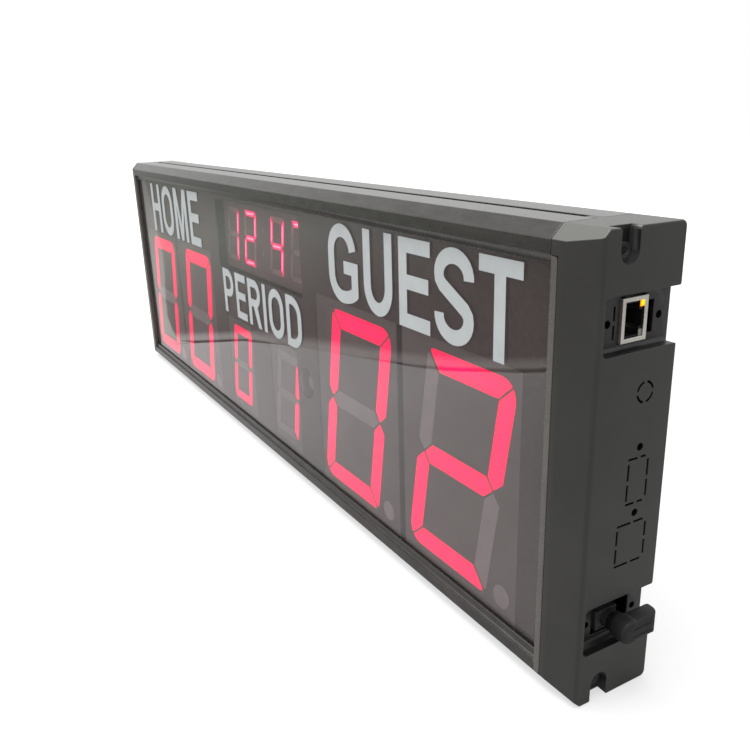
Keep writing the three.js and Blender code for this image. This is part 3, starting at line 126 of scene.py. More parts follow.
def surface(name, look):
    # A moulded or rolled surface: cloudy tone, fine grain in roughness and bump.
    material, tree, shader = startMaterial(name)
    stretch = look.get("stretch", (1, 1, 1))
    tone = objectNoise(tree, look["patch"], stretch, 4)
    base = colourRamp(tree, tone, [(0.32, look["dark"]), (0.68, look["light"])])
    for mark, colour in look.get("faceTones", {}).items():
        share = tree.nodes.new("ShaderNodeAttribute")
        share.attribute_name = mark
        mix = tree.nodes.new("ShaderNodeMix")
        mix.data_type = "RGBA"
        mix.inputs[mixTo].default_value = linear(colour)
        tree.links.new(share.outputs["Fac"], mix.inputs[mixShare])
        tree.links.new(base, mix.inputs[mixFrom])
        base = mix.outputs[mixResult]
    tree.links.new(base, shader.inputs["Base Color"])
    grain = objectNoise(tree, look["grain"], stretch, 2)
    tree.links.new(spread(tree, grain, *look["rough"]), shader.inputs["Roughness"])
    addBump(tree, shader, grain, look["bump"], look["depth"] * mm)
    # Painted glow: emission on a surface that is no lamp.
    if "paintedGlow" in look:
        share = tree.nodes.new("ShaderNodeAttribute")
        share.attribute_name = "paintedGlow"
        shader.inputs["Emission Color"].default_value = linear(look["paintedGlow"])
        tree.links.new(share.outputs["Fac"], shader.inputs["Emission Strength"])
    shader.inputs["Metallic"].default_value = look.get("metal", 0.0)
    shader.inputs["Specular IOR Level"].default_value = look.get("specular", 0.5)
    if "passes" in look:
        letLightPass(tree, shader, look["passes"])
    return material


looks = {
    "railMetal": {
        "dark": (80, 79, 77), "light": (91, 90, 88), "patch": 260, "grain": 2600,
        "rough": (0.22, 0.32), "bump": 0.2, "depth": 0.02, "metal": 0.85, "stretch": (0.35, 1, 1),
    },
    "capPlastic": {
        "dark": (43, 43, 41), "light": (50, 50, 47), "patch": 45, "grain": 2200,
        "rough": (0.32, 0.44), "bump": 0.4, "depth": 0.05,
        # painted highlight on the bevels that face up, painted shade on the sunk floors and walls of the end
        "faceTones": {"paintedTopHighlight": (112, 112, 108), "paintedRecessShade": (24, 24, 24)},
    },
    "stripPlastic": {
        "dark": (100, 96, 92), "light": (108, 104, 100), "patch": 60, "grain": 1800,
        "rough": (0.2, 0.3), "bump": 0.12, "depth": 0.02,
    },
    "maskBrown": {
        "dark": (94, 88, 86), "light": (104, 97, 95), "patch": 420, "grain": 900,
        "rough": (0.55, 0.7), "bump": 0.08, "depth": 0.02,
    },
    "backSheet": {
        "dark": (47, 47, 47), "light": (51, 51, 51), "patch": 40, "grain": 1500,
        "rough": (0.42, 0.58), "bump": 0.25, "depth": 0.03, "metal": 0.3,
    },
    "digitCase": {
        "dark": (134, 129, 127), "light": (142, 137, 135), "patch": 60, "grain": 1900,
        "rough": (0.6, 0.75), "bump": 0.25, "depth": 0.04,
    },
    "clockFace": {
        "dark": (142, 124, 126), "light": (150, 132, 134), "patch": 60, "grain": 1900,
        "rough": (0.6, 0.75), "bump": 0.25, "depth": 0.04,
    },
    "darkSegment": {
        "dark": (186, 178, 180), "light": (196, 188, 190), "patch": 120, "grain": 900,
        "rough": (0.35, 0.5), "bump": 0.15, "depth": 0.05,
    },
    "smallDarkSegment": {
        "dark": (158, 151, 152), "light": (166, 159, 160), "patch": 120, "grain": 900,
        "rough": (0.35, 0.5), "bump": 0.15, "depth": 0.05,
    },
    # unlit clock strokes that carry a painted red glow from the lit strokes beside them
    "paintedGlowSegment": {
        "dark": (158, 151, 152), "light": (166, 159, 160), "patch": 120, "grain": 900,
        "rough": (0.35, 0.5), "bump": 0.15, "depth": 0.05, "paintedGlow": (255, 30, 96),
    },
    "receiverFace": {
        "dark": (134, 129, 126), "light": (142, 137, 134), "patch": 120, "grain": 900,
        "rough": (0.5, 0.6), "bump": 0.1, "depth": 0.03,
    },
    "solderMask": {
        "dark": (18, 58, 34), "light": (30, 78, 46), "patch": 240, "grain": 700,
        "rough": (0.28, 0.42), "bump": 0.2, "depth": 0.03, "stretch": (1, 1, 0.2),
    },
    "darkMask": {
        "dark": (12, 24, 17), "light": (18, 34, 24), "patch": 240, "grain": 700,
        "rough": (0.4, 0.52), "bump": 0.2, "depth": 0.03,
    },
    "screwSteel": {
        "dark": (120, 121, 120), "light": (150, 151, 149), "patch": 300, "grain": 1600,
        "rough": (0.28, 0.42), "bump": 0.15, "depth": 0.02, "metal": 0.95,
    },
    "blackScrew": {
        "dark": (34, 34, 34), "light": (46, 46, 45), "patch": 260, "grain": 1500,
        "rough": (0.36, 0.5), "bump": 0.15, "depth": 0.02, "metal": 0.5,
    },
    "platedSheet": {
        "dark": (202, 199, 191), "light": (218, 215, 207), "patch": 90, "grain": 900,
        "rough": (0.26, 0.34), "bump": 0.06, "depth": 0.02, "metal": 0.8,
    },
    "blackPlastic": {
        "dark": (24, 24, 24), "light": (34, 34, 34), "patch": 90, "grain": 1500,
        "rough": (0.42, 0.56), "bump": 0.2, "depth": 0.03,
    },
    "plugRubber": {
        "dark": (19, 19, 18), "light": (26, 26, 25), "patch": 80, "grain": 1500,
        "rough": (0.5, 0.64), "bump": 0.2, "depth": 0.03, "specular": 0.35,
    },
    "jackPlastic": {
        "dark": (46, 47, 47), "light": (58, 59, 58), "patch": 110, "grain": 1200,
        "rough": (0.42, 0.56), "bump": 0.2, "depth": 0.03,
    },
    "insertPlastic": {
        "dark": (12, 12, 12), "light": (18, 18, 18), "patch": 110, "grain": 1200,
        "rough": (0.5, 0.64), "bump": 0.15, "depth": 0.02, "specular": 0.3,
    },
    "contactGold": {
        "dark": (190, 148, 58), "light": (222, 184, 92), "patch": 500, "grain": 1500,
        "rough": (0.2, 0.32), "bump": 0.1, "depth": 0.01, "metal": 1.0,
    },
    "standoffBrass": {
        "dark": (150, 124, 66), "light": (186, 158, 92), "patch": 400, "grain": 1500,
        "rough": (0.26, 0.4), "bump": 0.12, "depth": 0.02, "metal": 0.95,
    },
    "clearLamp": {
        "dark": (150, 152, 142), "light": (182, 184, 172), "patch": 320, "grain": 800,
        "rough": (0.16, 0.3), "bump": 0.1, "depth": 0.02,
    },
    "capacitorSleeve": {
        "dark": (22, 38, 66), "light": (34, 54, 88), "patch": 180, "grain": 900,
        "rough": (0.25, 0.38), "bump": 0.12, "depth": 0.02,
    },
    "ribbonGrey": {
        "dark": (118, 120, 122), "light": (146, 148, 150), "patch": 700, "grain": 900,
        "rough": (0.45, 0.6), "bump": 0.4, "depth": 0.12, "stretch": (0.02, 0.02, 1),
    },
    "labelInk": {
        "dark": (208, 213, 214), "light": (214, 219, 220), "patch": 160, "grain": 2400,
        "rough": (0.8, 0.9), "bump": 0.05, "depth": 0.01, "specular": 0.1, "passes": (255, 255, 255),
    },
}
finishes = {name: surface(name, look) for name, look in looks.items()}


# Smoked acrylic: shadow rays pass, so what is behind it is lit as through a real sheet.
acrylic = {
    "tint": (226, 222, 222), "shadowTint": (222, 218, 218), "unevenTint": 3, "roughness": 0.015,
    "ior": 1.49, "waveStrength": 0.06, "waveDepth": 1.2,
}


def makeAcrylic():
    material, tree, shader = startMaterial("smokedAcrylic")
    cloud = objectNoise(tree, 9, (1, 1, 1), 2)
    paler = tuple(channel + acrylic["unevenTint"] for channel in acrylic["tint"])
    tint = colourRamp(tree, cloud, [(0.3, acrylic["tint"]), (0.7, paler)])
    tree.links.new(tint, shader.inputs["Base Color"])
    shader.inputs["Roughness"].default_value = acrylic["roughness"]
    shader.inputs["IOR"].default_value = acrylic["ior"]
    shader.inputs["Transmission Weight"].default_value = 1.0
    wave = objectNoise(tree, 5, (1, 1, 1), 1)
    addBump(tree, shader, wave, acrylic["waveStrength"], acrylic["waveDepth"] * mm)
    letLightPass(tree, shader, acrylic["shadowTint"])
    return material


# Lit lamps. The "core" attribute is 0 at a lamp's edge and 1 over its middle.
lampLooks = {
    "largeLit": {
        "glow": [(0.0, (252, 18, 76)), (1.0, (255, 16, 92))], "base": (90, 10, 24), "strength": 1.8,
    },
    "clockLit": {
        "glow": [(0.0, (255, 2, 96)), (0.5, (255, 24, 116)), (1.0, (255, 188, 208))],
        "base": (90, 12, 28), "strength": 2.0,
    },
    "amberLit": {
        "glow": [(0.0, (255, 140, 0)), (1.0, (255, 216, 10))], "base": (190, 120, 10), "strength": 1.3,
    },
}


def makeLampMaterial(name, look):
    material, tree, shader = startMaterial(name)
    core = tree.nodes.new("ShaderNodeAttribute")
    core.attribute_name = "core"
    glow = colourRamp(tree, core.outputs["Fac"], look["glow"])
    tree.links.new(glow, shader.inputs["Emission Color"])
    uneven = objectNoise(tree, 90, (1, 1, 1), 1)
    level = spread(tree, uneven, look["strength"] * 0.94, look["strength"] * 1.06)
    tree.links.new(level, shader.inputs["Emission Strength"])
    shader.inputs["Base Color"].default_value = linear(look["base"])
    shader.inputs["Roughness"].default_value = 0.4
    return material


finishes["smokedAcrylic"] = makeAcrylic()
for lampName, lampLook in lampLooks.items():
    finishes[lampName] = makeLampMaterial(lampName, lampLook)
print("materials made:", len(finishes))


# Pieces.
def dress(piece, finish, slot, body, *replaced):
    piece.data.materials.clear()
    piece.data.materials.append(finishes[finish])
    if replaced:
        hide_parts(*replaced)
    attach(piece, body)
    return piece


def pieceFrom(bm, name):
    mesh = bpy.data.meshes.new(name)
    bm.to_mesh(mesh)
    bm.free()
    piece = bpy.data.objects.new(name, mesh)
    scene.collection.objects.link(piece)
    return piece


meshing = {
    "weld": 0.002, "flatAngle": 0.6, "largeArea": 60,  # mm, degrees, square mm
    "edgeToBevel": 8,  # an edge this many bevels long is softened
    "strongFace": 16384,  # Blender's own value for a face that decides its corners' normals
}


def mergedNode(node):
    # The node's loose triangles as one closed mesh with flat faces joined.
    bm = bmesh.new()
    bm.from_mesh(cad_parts[node].data)
    bmesh.ops.remove_doubles(bm, verts=bm.verts, dist=meshing["weld"] * mm)
    flatAngle = math.radians(meshing["flatAngle"])
    bmesh.ops.dissolve_limit(bm, angle_limit=flatAngle, verts=bm.verts, edges=bm.edges)
    strength = bm.faces.layers.int.new("__mod_weightednormals_faceweight")
    for face in bm.faces:
        large = face.calc_area() > meshing["largeArea"] * mm * mm
        face[strength] = meshing["strongFace"] if large else 0
    bmesh.ops.triangulate(bm, faces=[f for f in bm.faces if len(f.verts) > 4])
    return bm


def markLongEdges(bm, width, angle):
    # Only edges that are sharp, convex and long beside the bevel are softened.
    weight = bm.edges.layers.float.new("bevel_weight_edge")
    shortest = meshing["edgeToBevel"] * width * mm
    for edge in bm.edges:
        turn = edge.calc_face_angle_signed(0.0)
        edge[weight] = float(turn > math.radians(angle) and edge.calc_length() > shortest)


def smoothEdges(piece, width, angle=35, segments=2):
    bevel = piece.modifiers.new("softEdges", "BEVEL")
    bevel.width = width * mm
    bevel.segments = segments
    bevel.profile = 0.5
    bevel.limit_method = "WEIGHT"
    bevel.use_clamp_overlap = False
    bevel.material = -1
    flatten = piece.modifiers.new("flatFaces", "WEIGHTED_NORMAL")
    flatten.weight = 95
    flatten.keep_sharp = True
    flatten.use_face_influence = True
    piece.data.shade_smooth()
    piece.data.set_sharp_from_angle(angle=math.radians(angle))


capMarks = {
    "slant": 0.75, "slantReach": 0.3,  # how far up a bevel with painted highlight faces, and the play either way
    "endFace": 299.3, "floorFrom": 284.5, "across": (-7.5, 26.8), "upward": (2, 188),
}


def paintCapLightAndShade(bm):
    # Painted highlight: bevels that face up are paler, as if lit from above. Painted shade: the sunk floors
    # and walls of the end are darker, where shade falls in the recesses.
    paintedTopHighlight = bm.faces.layers.float.new("paintedTopHighlight")
    paintedRecessShade = bm.faces.layers.float.new("paintedRecessShade")
    for face in bm.faces:
        middle = face.calc_center_median() / mm
        away = abs(face.normal.z - capMarks["slant"]) / capMarks["slantReach"]
        face[paintedTopHighlight] = max(1 - away * away, 0.0)
        inside = capMarks["across"][0] < middle.y < capMarks["across"][1]
        inside = inside and capMarks["upward"][0] < middle.z < capMarks["upward"][1]
        sunk = capMarks["floorFrom"] < middle.x < capMarks["endFace"]
        face[paintedRecessShade] = float(inside and sunk)


def refinedCopy(node, finish, slot, width, body="scoreboard", angle=35):
    bm = mergedNode(node)
    # the end caps get their painted highlight and painted shade marks
    if finish == "capPlastic":
        paintCapLightAndShade(bm)
    markLongEdges(bm, width, angle)
    piece = pieceFrom(bm, node + "_finished")
    smoothEdges(piece, width, angle)
    return dress(piece, finish, slot, body, node)


def keepNode(node, finish):
    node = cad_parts[node]
    node.data.materials.clear()
    node.data.materials.append(finishes[finish])


edgeWidths = {
    "top_rail": ("railMetal", "anodised_rail", 0.25),
    "bottom_rail": ("railMetal", "anodised_rail", 0.25),
    "end_cap_right": ("capPlastic", "cap_plastic", 0.22),
    "end_cap_left": ("capPlastic", "cap_plastic", 0.22),
    "side_strip_right": ("stripPlastic", "strip_plastic", 0.5),
    "side_strip_left": ("stripPlastic", "strip_plastic", 0.5),
    "back_panel": ("backSheet", "back_sheet", 0.15),
    "display_board": ("solderMask", "circuit_board", 0.1),
    "control_board": ("solderMask", "circuit_board", 0.1),
    "socket_board": ("darkMask", "circuit_board", 0.1),
    "ir_receiver": ("receiverFace", "black_plastic", 0.3),
    "processor_chip": ("blackPlastic", "black_plastic", 0.15),
    "buzzer": ("blackPlastic", "black_plastic", 0.3),
    "coin_cell_holder": ("blackPlastic", "black_plastic", 0.2),
    "coin_cell": ("platedSheet", "plated_metal", 0.25),
    "filter_capacitor": ("capacitorSleeve", "capacitor_sleeve", 0.4),
    "voltage_regulator": ("blackPlastic", "black_plastic", 0.15),
    "network_jack_shield": ("platedSheet", "plated_metal", 0.12),
    "network_jack_insert": ("insertPlastic", "black_plastic", 0.12),
    "network_jack_contacts": ("contactGold", "contact_gold", 0.05),
    "status_lamp": ("clearLamp", "clear_lamp", 0.2),
    "power_jack": ("jackPlastic", "black_plastic", 0.12),
    "power_jack_pin": ("platedSheet", "plated_metal", 0.2),
    "socket_ribbon": ("ribbonGrey", "ribbon_grey", 0.1),
    "socket_board_screw_top": ("screwSteel", "screw_steel", 0.2),
    "socket_board_screw_bottom": ("screwSteel", "screw_steel", 0.2),
}
for index in range(1, 5):
    edgeWidths[f"control_standoff_{index}"] = ("standoffBrass", "standoff_brass", 0.2)
    edgeWidths[f"control_screw_{index}"] = ("screwSteel", "screw_steel", 0.2)
for side in ("right", "left"):
    for end in ("top", "bottom"):
        edgeWidths[f"cap_screw_{side}_{end}"] = ("blackScrew", "screw_steel", 0.25)
for node, (finish, slot, width) in edgeWidths.items():
    refinedCopy(node, finish, slot, width)
refinedCopy("plug_body", "plugRubber", "black_plastic", 0.3, "plug")
refinedCopy("plug_sleeve", "platedSheet", "plated_metal", 0.15, "plug")
keepNode("front_panel", "smokedAcrylic")
keepNode("mask_film", "maskBrown")
print("casing and boards dressed")


# Seven-segment modules: lit strokes are split from the potting and the unlit strokes.
digitForms = {
    "large": {
        "width": 63.7, "height": 107, "stroke": 10.5, "slant": 10, "core": 3.4,
        "lamp": "largeLit", "unlit": "darkSegment", "case": "digitCase",
    },
    "period": {
        "width": 34.9, "height": 59.4, "stroke": 6.2, "slant": 10.5, "core": 2.2,
        "lamp": "largeLit", "unlit": "smallDarkSegment", "case": "digitCase",
    },
    "clock": {
        # level and reach of the painted red glow on the clock's potting
        "width": 21.4, "height": 38.4, "stroke": 4, "slant": 10, "core": 1.9, "paintedGlow": (0.34, 3.2),
        "lamp": "clockLit", "unlit": "paintedGlowSegment", "case": "clockFace",
    },
}
modules = {
    "home_tens": ("large", [(-241.2, 72.3, "abcdef")]),
    "home_ones": ("large", [(-146.2, 72.3, "abcdef")]),
    "period_tens": ("period", [(-52.1, 52.6, "abcdef")]),
    "period_ones": ("period", [(28.6, 52.6, "bc")]),
    "guest_tens": ("large", [(122.2, 72.3, "abcdef")]),
    "guest_ones": ("large", [(217.2, 72.3, "abged")]),
    "clock": (
        "clock",
        [(-65.0, 148.2, "bc"), (-32.8, 148.2, "abged"), (12.8, 148.2, "fgbc"), (45.0, 148.2, "abc")],
    ),
}
plateSetBack = 1.5  # from the lamps' faces to the potting
facePlay = 0.01  # faces this near the front belong to the lamps' faces
paintedGlowGrid = {"rounds": 8, "cell": 2, "facing": -0.9}  # how finely the potting is divided for the painted glow


def atFront(y, frontY):
    return abs(y - frontY) < facePlay * mm


def frontFaces(faces, frontY):
    return [f for f in faces if atFront(f.calc_center_median().y, frontY)]


def edgesOf(faces):
    return {edge for face in faces for edge in face.edges}


def strokeLetter(x, z, form):
    # Which stroke of an upright digit a place belongs to.
    if abs(x) > form["width"] * 0.62:
        return None
    if abs(z) < form["stroke"] and abs(x) < form["width"] * 0.25:
        return "g"
    if abs(z) > form["height"] / 2 - form["stroke"] and abs(x) < form["width"] * 0.3:
        return "a" if z > 0 else "d"
    if z > 0:
        return "b" if x > 0 else "f"
    return "c" if x > 0 else "e"


def blockGroups(bm, frontY):
    # Faces of each block that stands on the potting, from its walls to its lit face.
    back = frontY + (plateSetBack - 0.05) * mm
    waiting = {f for f in bm.faces if min(v.co.y for v in f.verts) < back and
               not all(v.co.y > back for v in f.verts)}
    groups = []
    while waiting:
        group = {waiting.pop()}
        edge = list(group)
        while edge:
            for side in edge.pop().edges:
                for face in side.link_faces:
                    if face in waiting:
                        waiting.remove(face)
                        group.add(face)
                        edge.append(face)
        groups.append(group)
    return groups


def isLit(group, frontY, form, digits):
    lean = math.tan(math.radians(form["slant"]))
    fronts = frontFaces(group, frontY)
    area = sum(f.calc_area() for f in fronts)
    middle = sum((f.calc_center_median_weighted() * f.calc_area() for f in fronts), Vector()) / area / mm
    places = [(middle.x - x - (middle.z - z) * lean, middle.z - z, lit) for x, z, lit in digits]
    x, z, lit = min(places, key=lambda place: abs(place[0]))
    letter = strokeLetter(x, z, form)
    return letter is not None and letter in lit


def closeHoles(bm):
    bmesh.ops.holes_fill(bm, edges=[e for e in bm.edges if e.is_boundary], sides=0)
    bmesh.ops.recalc_face_normals(bm, faces=bm.faces)


def addGlowCore(bm, frontY, reach):
    # Each lit face is divided finely, and every point learns how far it is from the stroke's edge.
    fronts = frontFaces(bm.faces, frontY)
    rims = [e for e in edgesOf(fronts) if sum(f in fronts for f in e.link_faces) == 1]
    lines = [(e.verts[0].co.copy(), e.verts[1].co.copy()) for e in rims]
    inner = [e for e in edgesOf(fronts) if e not in rims]
    bmesh.ops.subdivide_edges(bm, edges=inner, cuts=1, use_grid_fill=True)
    for cuts in (2, 1):
        edges = list(edgesOf(frontFaces(bm.faces, frontY)))
        bmesh.ops.subdivide_edges(bm, edges=edges, cuts=cuts, use_grid_fill=True)
    core = bm.verts.layers.float.new("core")
    for vert in bm.verts:
        if atFront(vert.co.y, frontY):
            vert[core] = min(nearest(vert.co, lines) / (reach * mm), 1.0)
    return lines


def addPaintedGlow(bm, lines, level, reach):
    # Painted glow: the potting beside the lit strokes is given emission, as if their light spilled over what
    # faces forward beside them, fading with distance.
    for turn in range(paintedGlowGrid["rounds"]):
        fronts = [f for f in bm.faces if f.normal.y < paintedGlowGrid["facing"]]
        longEdges = [e for e in edgesOf(fronts) if e.calc_length() > paintedGlowGrid["cell"] * mm]
        bmesh.ops.subdivide_edges(bm, edges=longEdges, cuts=1, use_grid_fill=True)
        bmesh.ops.triangulate(bm, faces=[f for f in bm.faces if len(f.verts) > 4])
    paintedGlow = bm.verts.layers.float.new("paintedGlow")
    for vert in bm.verts:
        vert[paintedGlow] = level * math.exp(-nearest(vert.co, lines) / (reach * mm))


def edgeDistance(point, start, end):
    along = end - start
    share = min(max((point - start).dot(along) / along.length_squared, 0.0), 1.0)
    return (start + along * share - point).length


def nearest(point, lines):
    return min(edgeDistance(point, *line) for line in lines)


def splitModule(name, kind, digits):
    form = digitForms[kind]
    node = name + "_segments"
    litMesh = mergedNode(node)
    frontY = min(v.co.y for v in litMesh.verts)
    litMesh.faces.ensure_lookup_table()
    groups = blockGroups(litMesh, frontY)
    litFaces = set()
    for group in groups:
        if isLit(group, frontY, form, digits):
            litFaces |= {f.index for f in group}
    restMesh = litMesh.copy()
    restMesh.faces.ensure_lookup_table()
    bmesh.ops.delete(restMesh, geom=[f for f in restMesh.faces if f.index in litFaces], context="FACES")
    bmesh.ops.delete(litMesh, geom=[f for f in litMesh.faces if f.index not in litFaces], context="FACES")
    closeHoles(restMesh)
    closeHoles(litMesh)
    rims = addGlowCore(litMesh, frontY, form["core"])
    if "paintedGlow" in form:
        addPaintedGlow(restMesh, rims, *form["paintedGlow"])
    lit = pieceFrom(litMesh, name + "_lit_strokes")
    dress(lit, form["lamp"], "lit_segments", "scoreboard", node)
    rest = pieceFrom(restMesh, name + "_dark_strokes")
    dress(rest, form["unlit"], "lit_segments", "scoreboard", node)
    print(name, "blocks", len(groups), "lit faces", len(litFaces))


for name, (kind, digits) in modules.items():
    splitModule(name, kind, digits)
    refinedCopy(name + "_case", digitForms[kind]["case"], "digit_case", 0.15)

lampMesh = mergedNode("link_lamp")
lampFace = [f for f in lampMesh.faces if f.normal.x > 0.9]
coreLayer = lampMesh.verts.layers.float.new("core")
bmesh.ops.inset_region(lampMesh, faces=lampFace, thickness=0.7 * mm, use_even_offset=True)
for face in lampFace:
    for vert in face.verts:
        vert[coreLayer] = 1.0
dress(pieceFrom(lampMesh, "link_lamp_glowing"), "amberLit", "amber_lamp", "scoreboard", "link_lamp")


# Plain function labels on the front of the acrylic. Letters are drawn one unit high with even strokes.
labels = {
    "thickness": 0.05, "front": -10.15, "stroke": 0.163, "round": 0.36, "gap": 0.14,
    "widths": {"G": 0.76, "U": 0.645, "E": 0.607, "S": 0.665, "T": 0.63, "H": 0.645,
               "O": 0.74, "M": 0.8, "P": 0.63, "R": 0.68, "I": 0.163, "D": 0.68},
    "tightPairs": {"ES": 0.08, "ST": 0.07},
    "words": {
        "HOME": ((-252.4, -119.7), (132.0, 174.3)),
        "GUEST": ((100.4, 260.7), (131.6, 173.9)),
        "PERIOD": ((-75.8, 59.4), (90.1, 123.0)),
    },
}


def bow(middleX, middleY, radiusX, radiusY, start, end, steps=14):
    turns = [math.radians(start + (end - start) * step / steps) for step in range(steps + 1)]
    return [(middleX + radiusX * math.cos(a), middleY + radiusY * math.sin(a)) for a in turns]


def band(points, stroke):
    # An outline of even width round an open line, with mitred corners.
    left, right = [], []
    for index, point in enumerate(points):
        here = Vector(point)
        before = Vector(points[max(index - 1, 0)])
        after = Vector(points[min(index + 1, len(points) - 1)])
        first = (here - before).normalized() if index else (after - here).normalized()
        second = (after - here).normalized() if index < len(points) - 1 else first
        middle = (first + second).normalized()
        side = Vector((-middle.y, middle.x)) * (stroke / 2 / max(middle.dot(first), 0.5))
        left.append(tuple(here + side))
        right.append(tuple(here - side))
    return left + right[::-1]


def letterLoops(letter, w, t, r):
    # Closed outlines of one letter, w wide and 1 high, with stroke t and round ends r high.
    h = t / 2
    bars = {
        "I": [[(0, 0), (t, 0), (t, 1), (0, 1)]],
        "T": [[(w / 2 - h, 0), (w / 2 + h, 0), (w / 2 + h, 1 - t), (w, 1 - t), (w, 1), (0, 1),
               (0, 1 - t), (w / 2 - h, 1 - t)]],
        "E": [[(0, 0), (w, 0), (w, t), (t, t), (t, 0.435), (w * 0.95, 0.435), (w * 0.95, 0.6), (t, 0.6),
               (t, 1 - t), (w, 1 - t), (w, 1), (0, 1)]],
        "H": [[(0, 0), (t, 0), (t, 0.44), (w - t, 0.44), (w - t, 0), (w, 0), (w, 1), (w - t, 1),
               (w - t, 0.6), (t, 0.6), (t, 1), (0, 1)]],
        "M": [[(0, 0), (t, 0), (t, 0.66), (w / 2 - h * 0.85, 0), (w / 2 + h * 0.85, 0), (w - t, 0.66),
               (w - t, 0), (w, 0), (w, 1), (w - t * 1.25, 1), (w / 2, 0.3), (t * 1.25, 1), (0, 1)]],
    }
    if letter in bars:
        return bars[letter]
    if letter == "O":
        outer = bow(w / 2, r, w / 2, r, 180, 360) + bow(w / 2, 1 - r, w / 2, r, 0, 180)
        inner = bow(w / 2, r, w / 2 - t, r - t, 180, 360) + bow(w / 2, 1 - r, w / 2 - t, r - t, 0, 180)
        return [outer, inner]
    if letter == "U":
        return [band([(h, 1)] + bow(w / 2, r, w / 2 - h, r - h, 180, 360) + [(w - h, 1)], t)]
    if letter == "D":
        across = 0.42
        straight = w - across
        right = bow(straight, r, across, r, 270, 360) + bow(straight, 1 - r, across, r, 0, 90)
        hole = bow(straight, r, across - t, r - t, 270, 360) + bow(straight, 1 - r, across - t, r - t, 0, 90)
        return [[(0, 0)] + right + [(0, 1)], [(t, t)] + hole + [(t, 1 - t)]]
    if letter in "PR":
        foot, rise = (0.38, 0.31) if letter == "P" else (0.42, 0.29)
        right = bow(w - rise, foot + rise, rise, rise, -90, 90)
        hole = bow(w - rise, foot + rise, rise - t, rise - t, -90, 90)
        leg = [] if letter == "P" else [(t, 0), (t, foot), (w * 0.42, foot), (w - t * 1.12, 0), (w, 0),
                                        (w * 0.74, foot + 0.02)]
        stem = [(0, 0), (t, 0), (t, foot)] if letter == "P" else [(0, 0)] + leg
        return [stem + right + [(0, 1)], [(t, foot + t)] + hole + [(t, 1 - t)]]
    if letter == "G":
        middle, narrow, wide, barHeight = w / 2 - 0.02, w / 2 - h - 0.02, 0.4325, 0.465
        top = bow(middle, 1 - r, narrow, r - h, 8, 180)
        low = bow(middle, r, narrow, r - h, 180, 270) + bow(middle, r, wide, r - h, 270, 317)[1:]
        return [band(top + low + [(w - h, barHeight), (w * 0.53, barHeight)], t)]
    top = bow(w / 2, 1 - r * 0.8, w / 2 - h, r * 0.8 - h, -4, 180)
    low = bow(w / 2, r * 0.8, w / 2 - h, r * 0.8 - h, 0, -184)
    spine = [(h + 0.01, 0.655), (h + 0.06, 0.6), (w / 2, 0.5), (w - h - 0.06, 0.4), (w - h - 0.01, 0.345)]
    return [band(top + spine + low, t)]


def makeLabel(word, across, heights):
    loops, start = [], 0.0
    for index, letter in enumerate(word):
        width = labels["widths"][letter]
        for loop in letterLoops(letter, width, labels["stroke"], labels["round"]):
            loops.append([(start + x, y) for x, y in loop])
        start += width + labels["tightPairs"].get(word[index:index + 2], labels["gap"])
    curve = bpy.data.curves.new("label_" + word.lower(), "CURVE")
    curve.dimensions = "2D"
    curve.fill_mode = "BOTH"
    for loop in loops:
        spline = curve.splines.new("POLY")
        spline.points.add(len(loop) - 1)
        spline.points.foreach_set("co", [value for x, y in loop for value in (x, y, 0, 1)])
        spline.use_cyclic_u = True
    carrier = bpy.data.objects.new("labelSource", curve)
    scene.collection.objects.link(carrier)
    bpy.context.view_layer.update()
    bm = bmesh.new()
    bm.from_mesh(bpy.data.meshes.new_from_object(carrier))
    bpy.data.objects.remove(carrier)
    bmesh.ops.remove_doubles(bm, verts=bm.verts, dist=0.0005)
    reach = max(v.co.x for v in bm.verts)
    for v in bm.verts:
        x = across[0] + v.co.x / reach * (across[1] - across[0])
        z = heights[0] + v.co.y * (heights[1] - heights[0])
        v.co = Vector((x, labels["front"], z)) * mm
    raised = bmesh.ops.extrude_face_region(bm, geom=bm.faces)
    moved = [item for item in raised["geom"] if isinstance(item, bmesh.types.BMVert)]
    bmesh.ops.translate(bm, verts=moved, vec=(0, -labels["thickness"] * mm, 0))
    bmesh.ops.recalc_face_normals(bm, faces=bm.faces)
    return dress(pieceFrom(bm, "label_" + word.lower()), "labelInk", "strip_plastic", "scoreboard")


for word, (across, heights) in labels["words"].items():
    makeLabel(word, across, heights)
print("digits and labels made")


# Camera, floor and light.
view = {
    "place": (0.48246, -0.20203, 0.22776), "yaw": 60.554, "pitch": 18.80, "roll": 1.922,
    "lens": 37.67, "shiftX": 0.00587, "shiftY": 0.00733,
}


def makeCamera():
    camera = bpy.data.objects.new("photoCamera", bpy.data.cameras.new("photoCamera"))
    scene.collection.objects.link(camera)
    yaw, pitch, roll = (math.radians(view[key]) for key in ("yaw", "pitch", "roll"))
    forward = Vector((-math.sin(yaw) * math.cos(pitch), math.cos(yaw) * math.cos(pitch), -math.sin(pitch)))
    right = Vector((math.cos(yaw), math.sin(yaw), 0))
    down = forward.cross(right)
    turnedRight = math.cos(roll) * right + math.sin(roll) * down
    turnedDown = -math.sin(roll) * right + math.cos(roll) * down
    axes = Matrix((turnedRight, -turnedDown, -forward)).transposed()
    camera.matrix_world = Matrix.Translation(view["place"]) @ axes.to_4x4()
    camera.data.sensor_width = 36
    camera.data.lens = view["lens"]
    camera.data.shift_x = view["shiftX"]
    camera.data.shift_y = view["shiftY"]
    camera.data.clip_start = 0.01
    scene.camera = camera


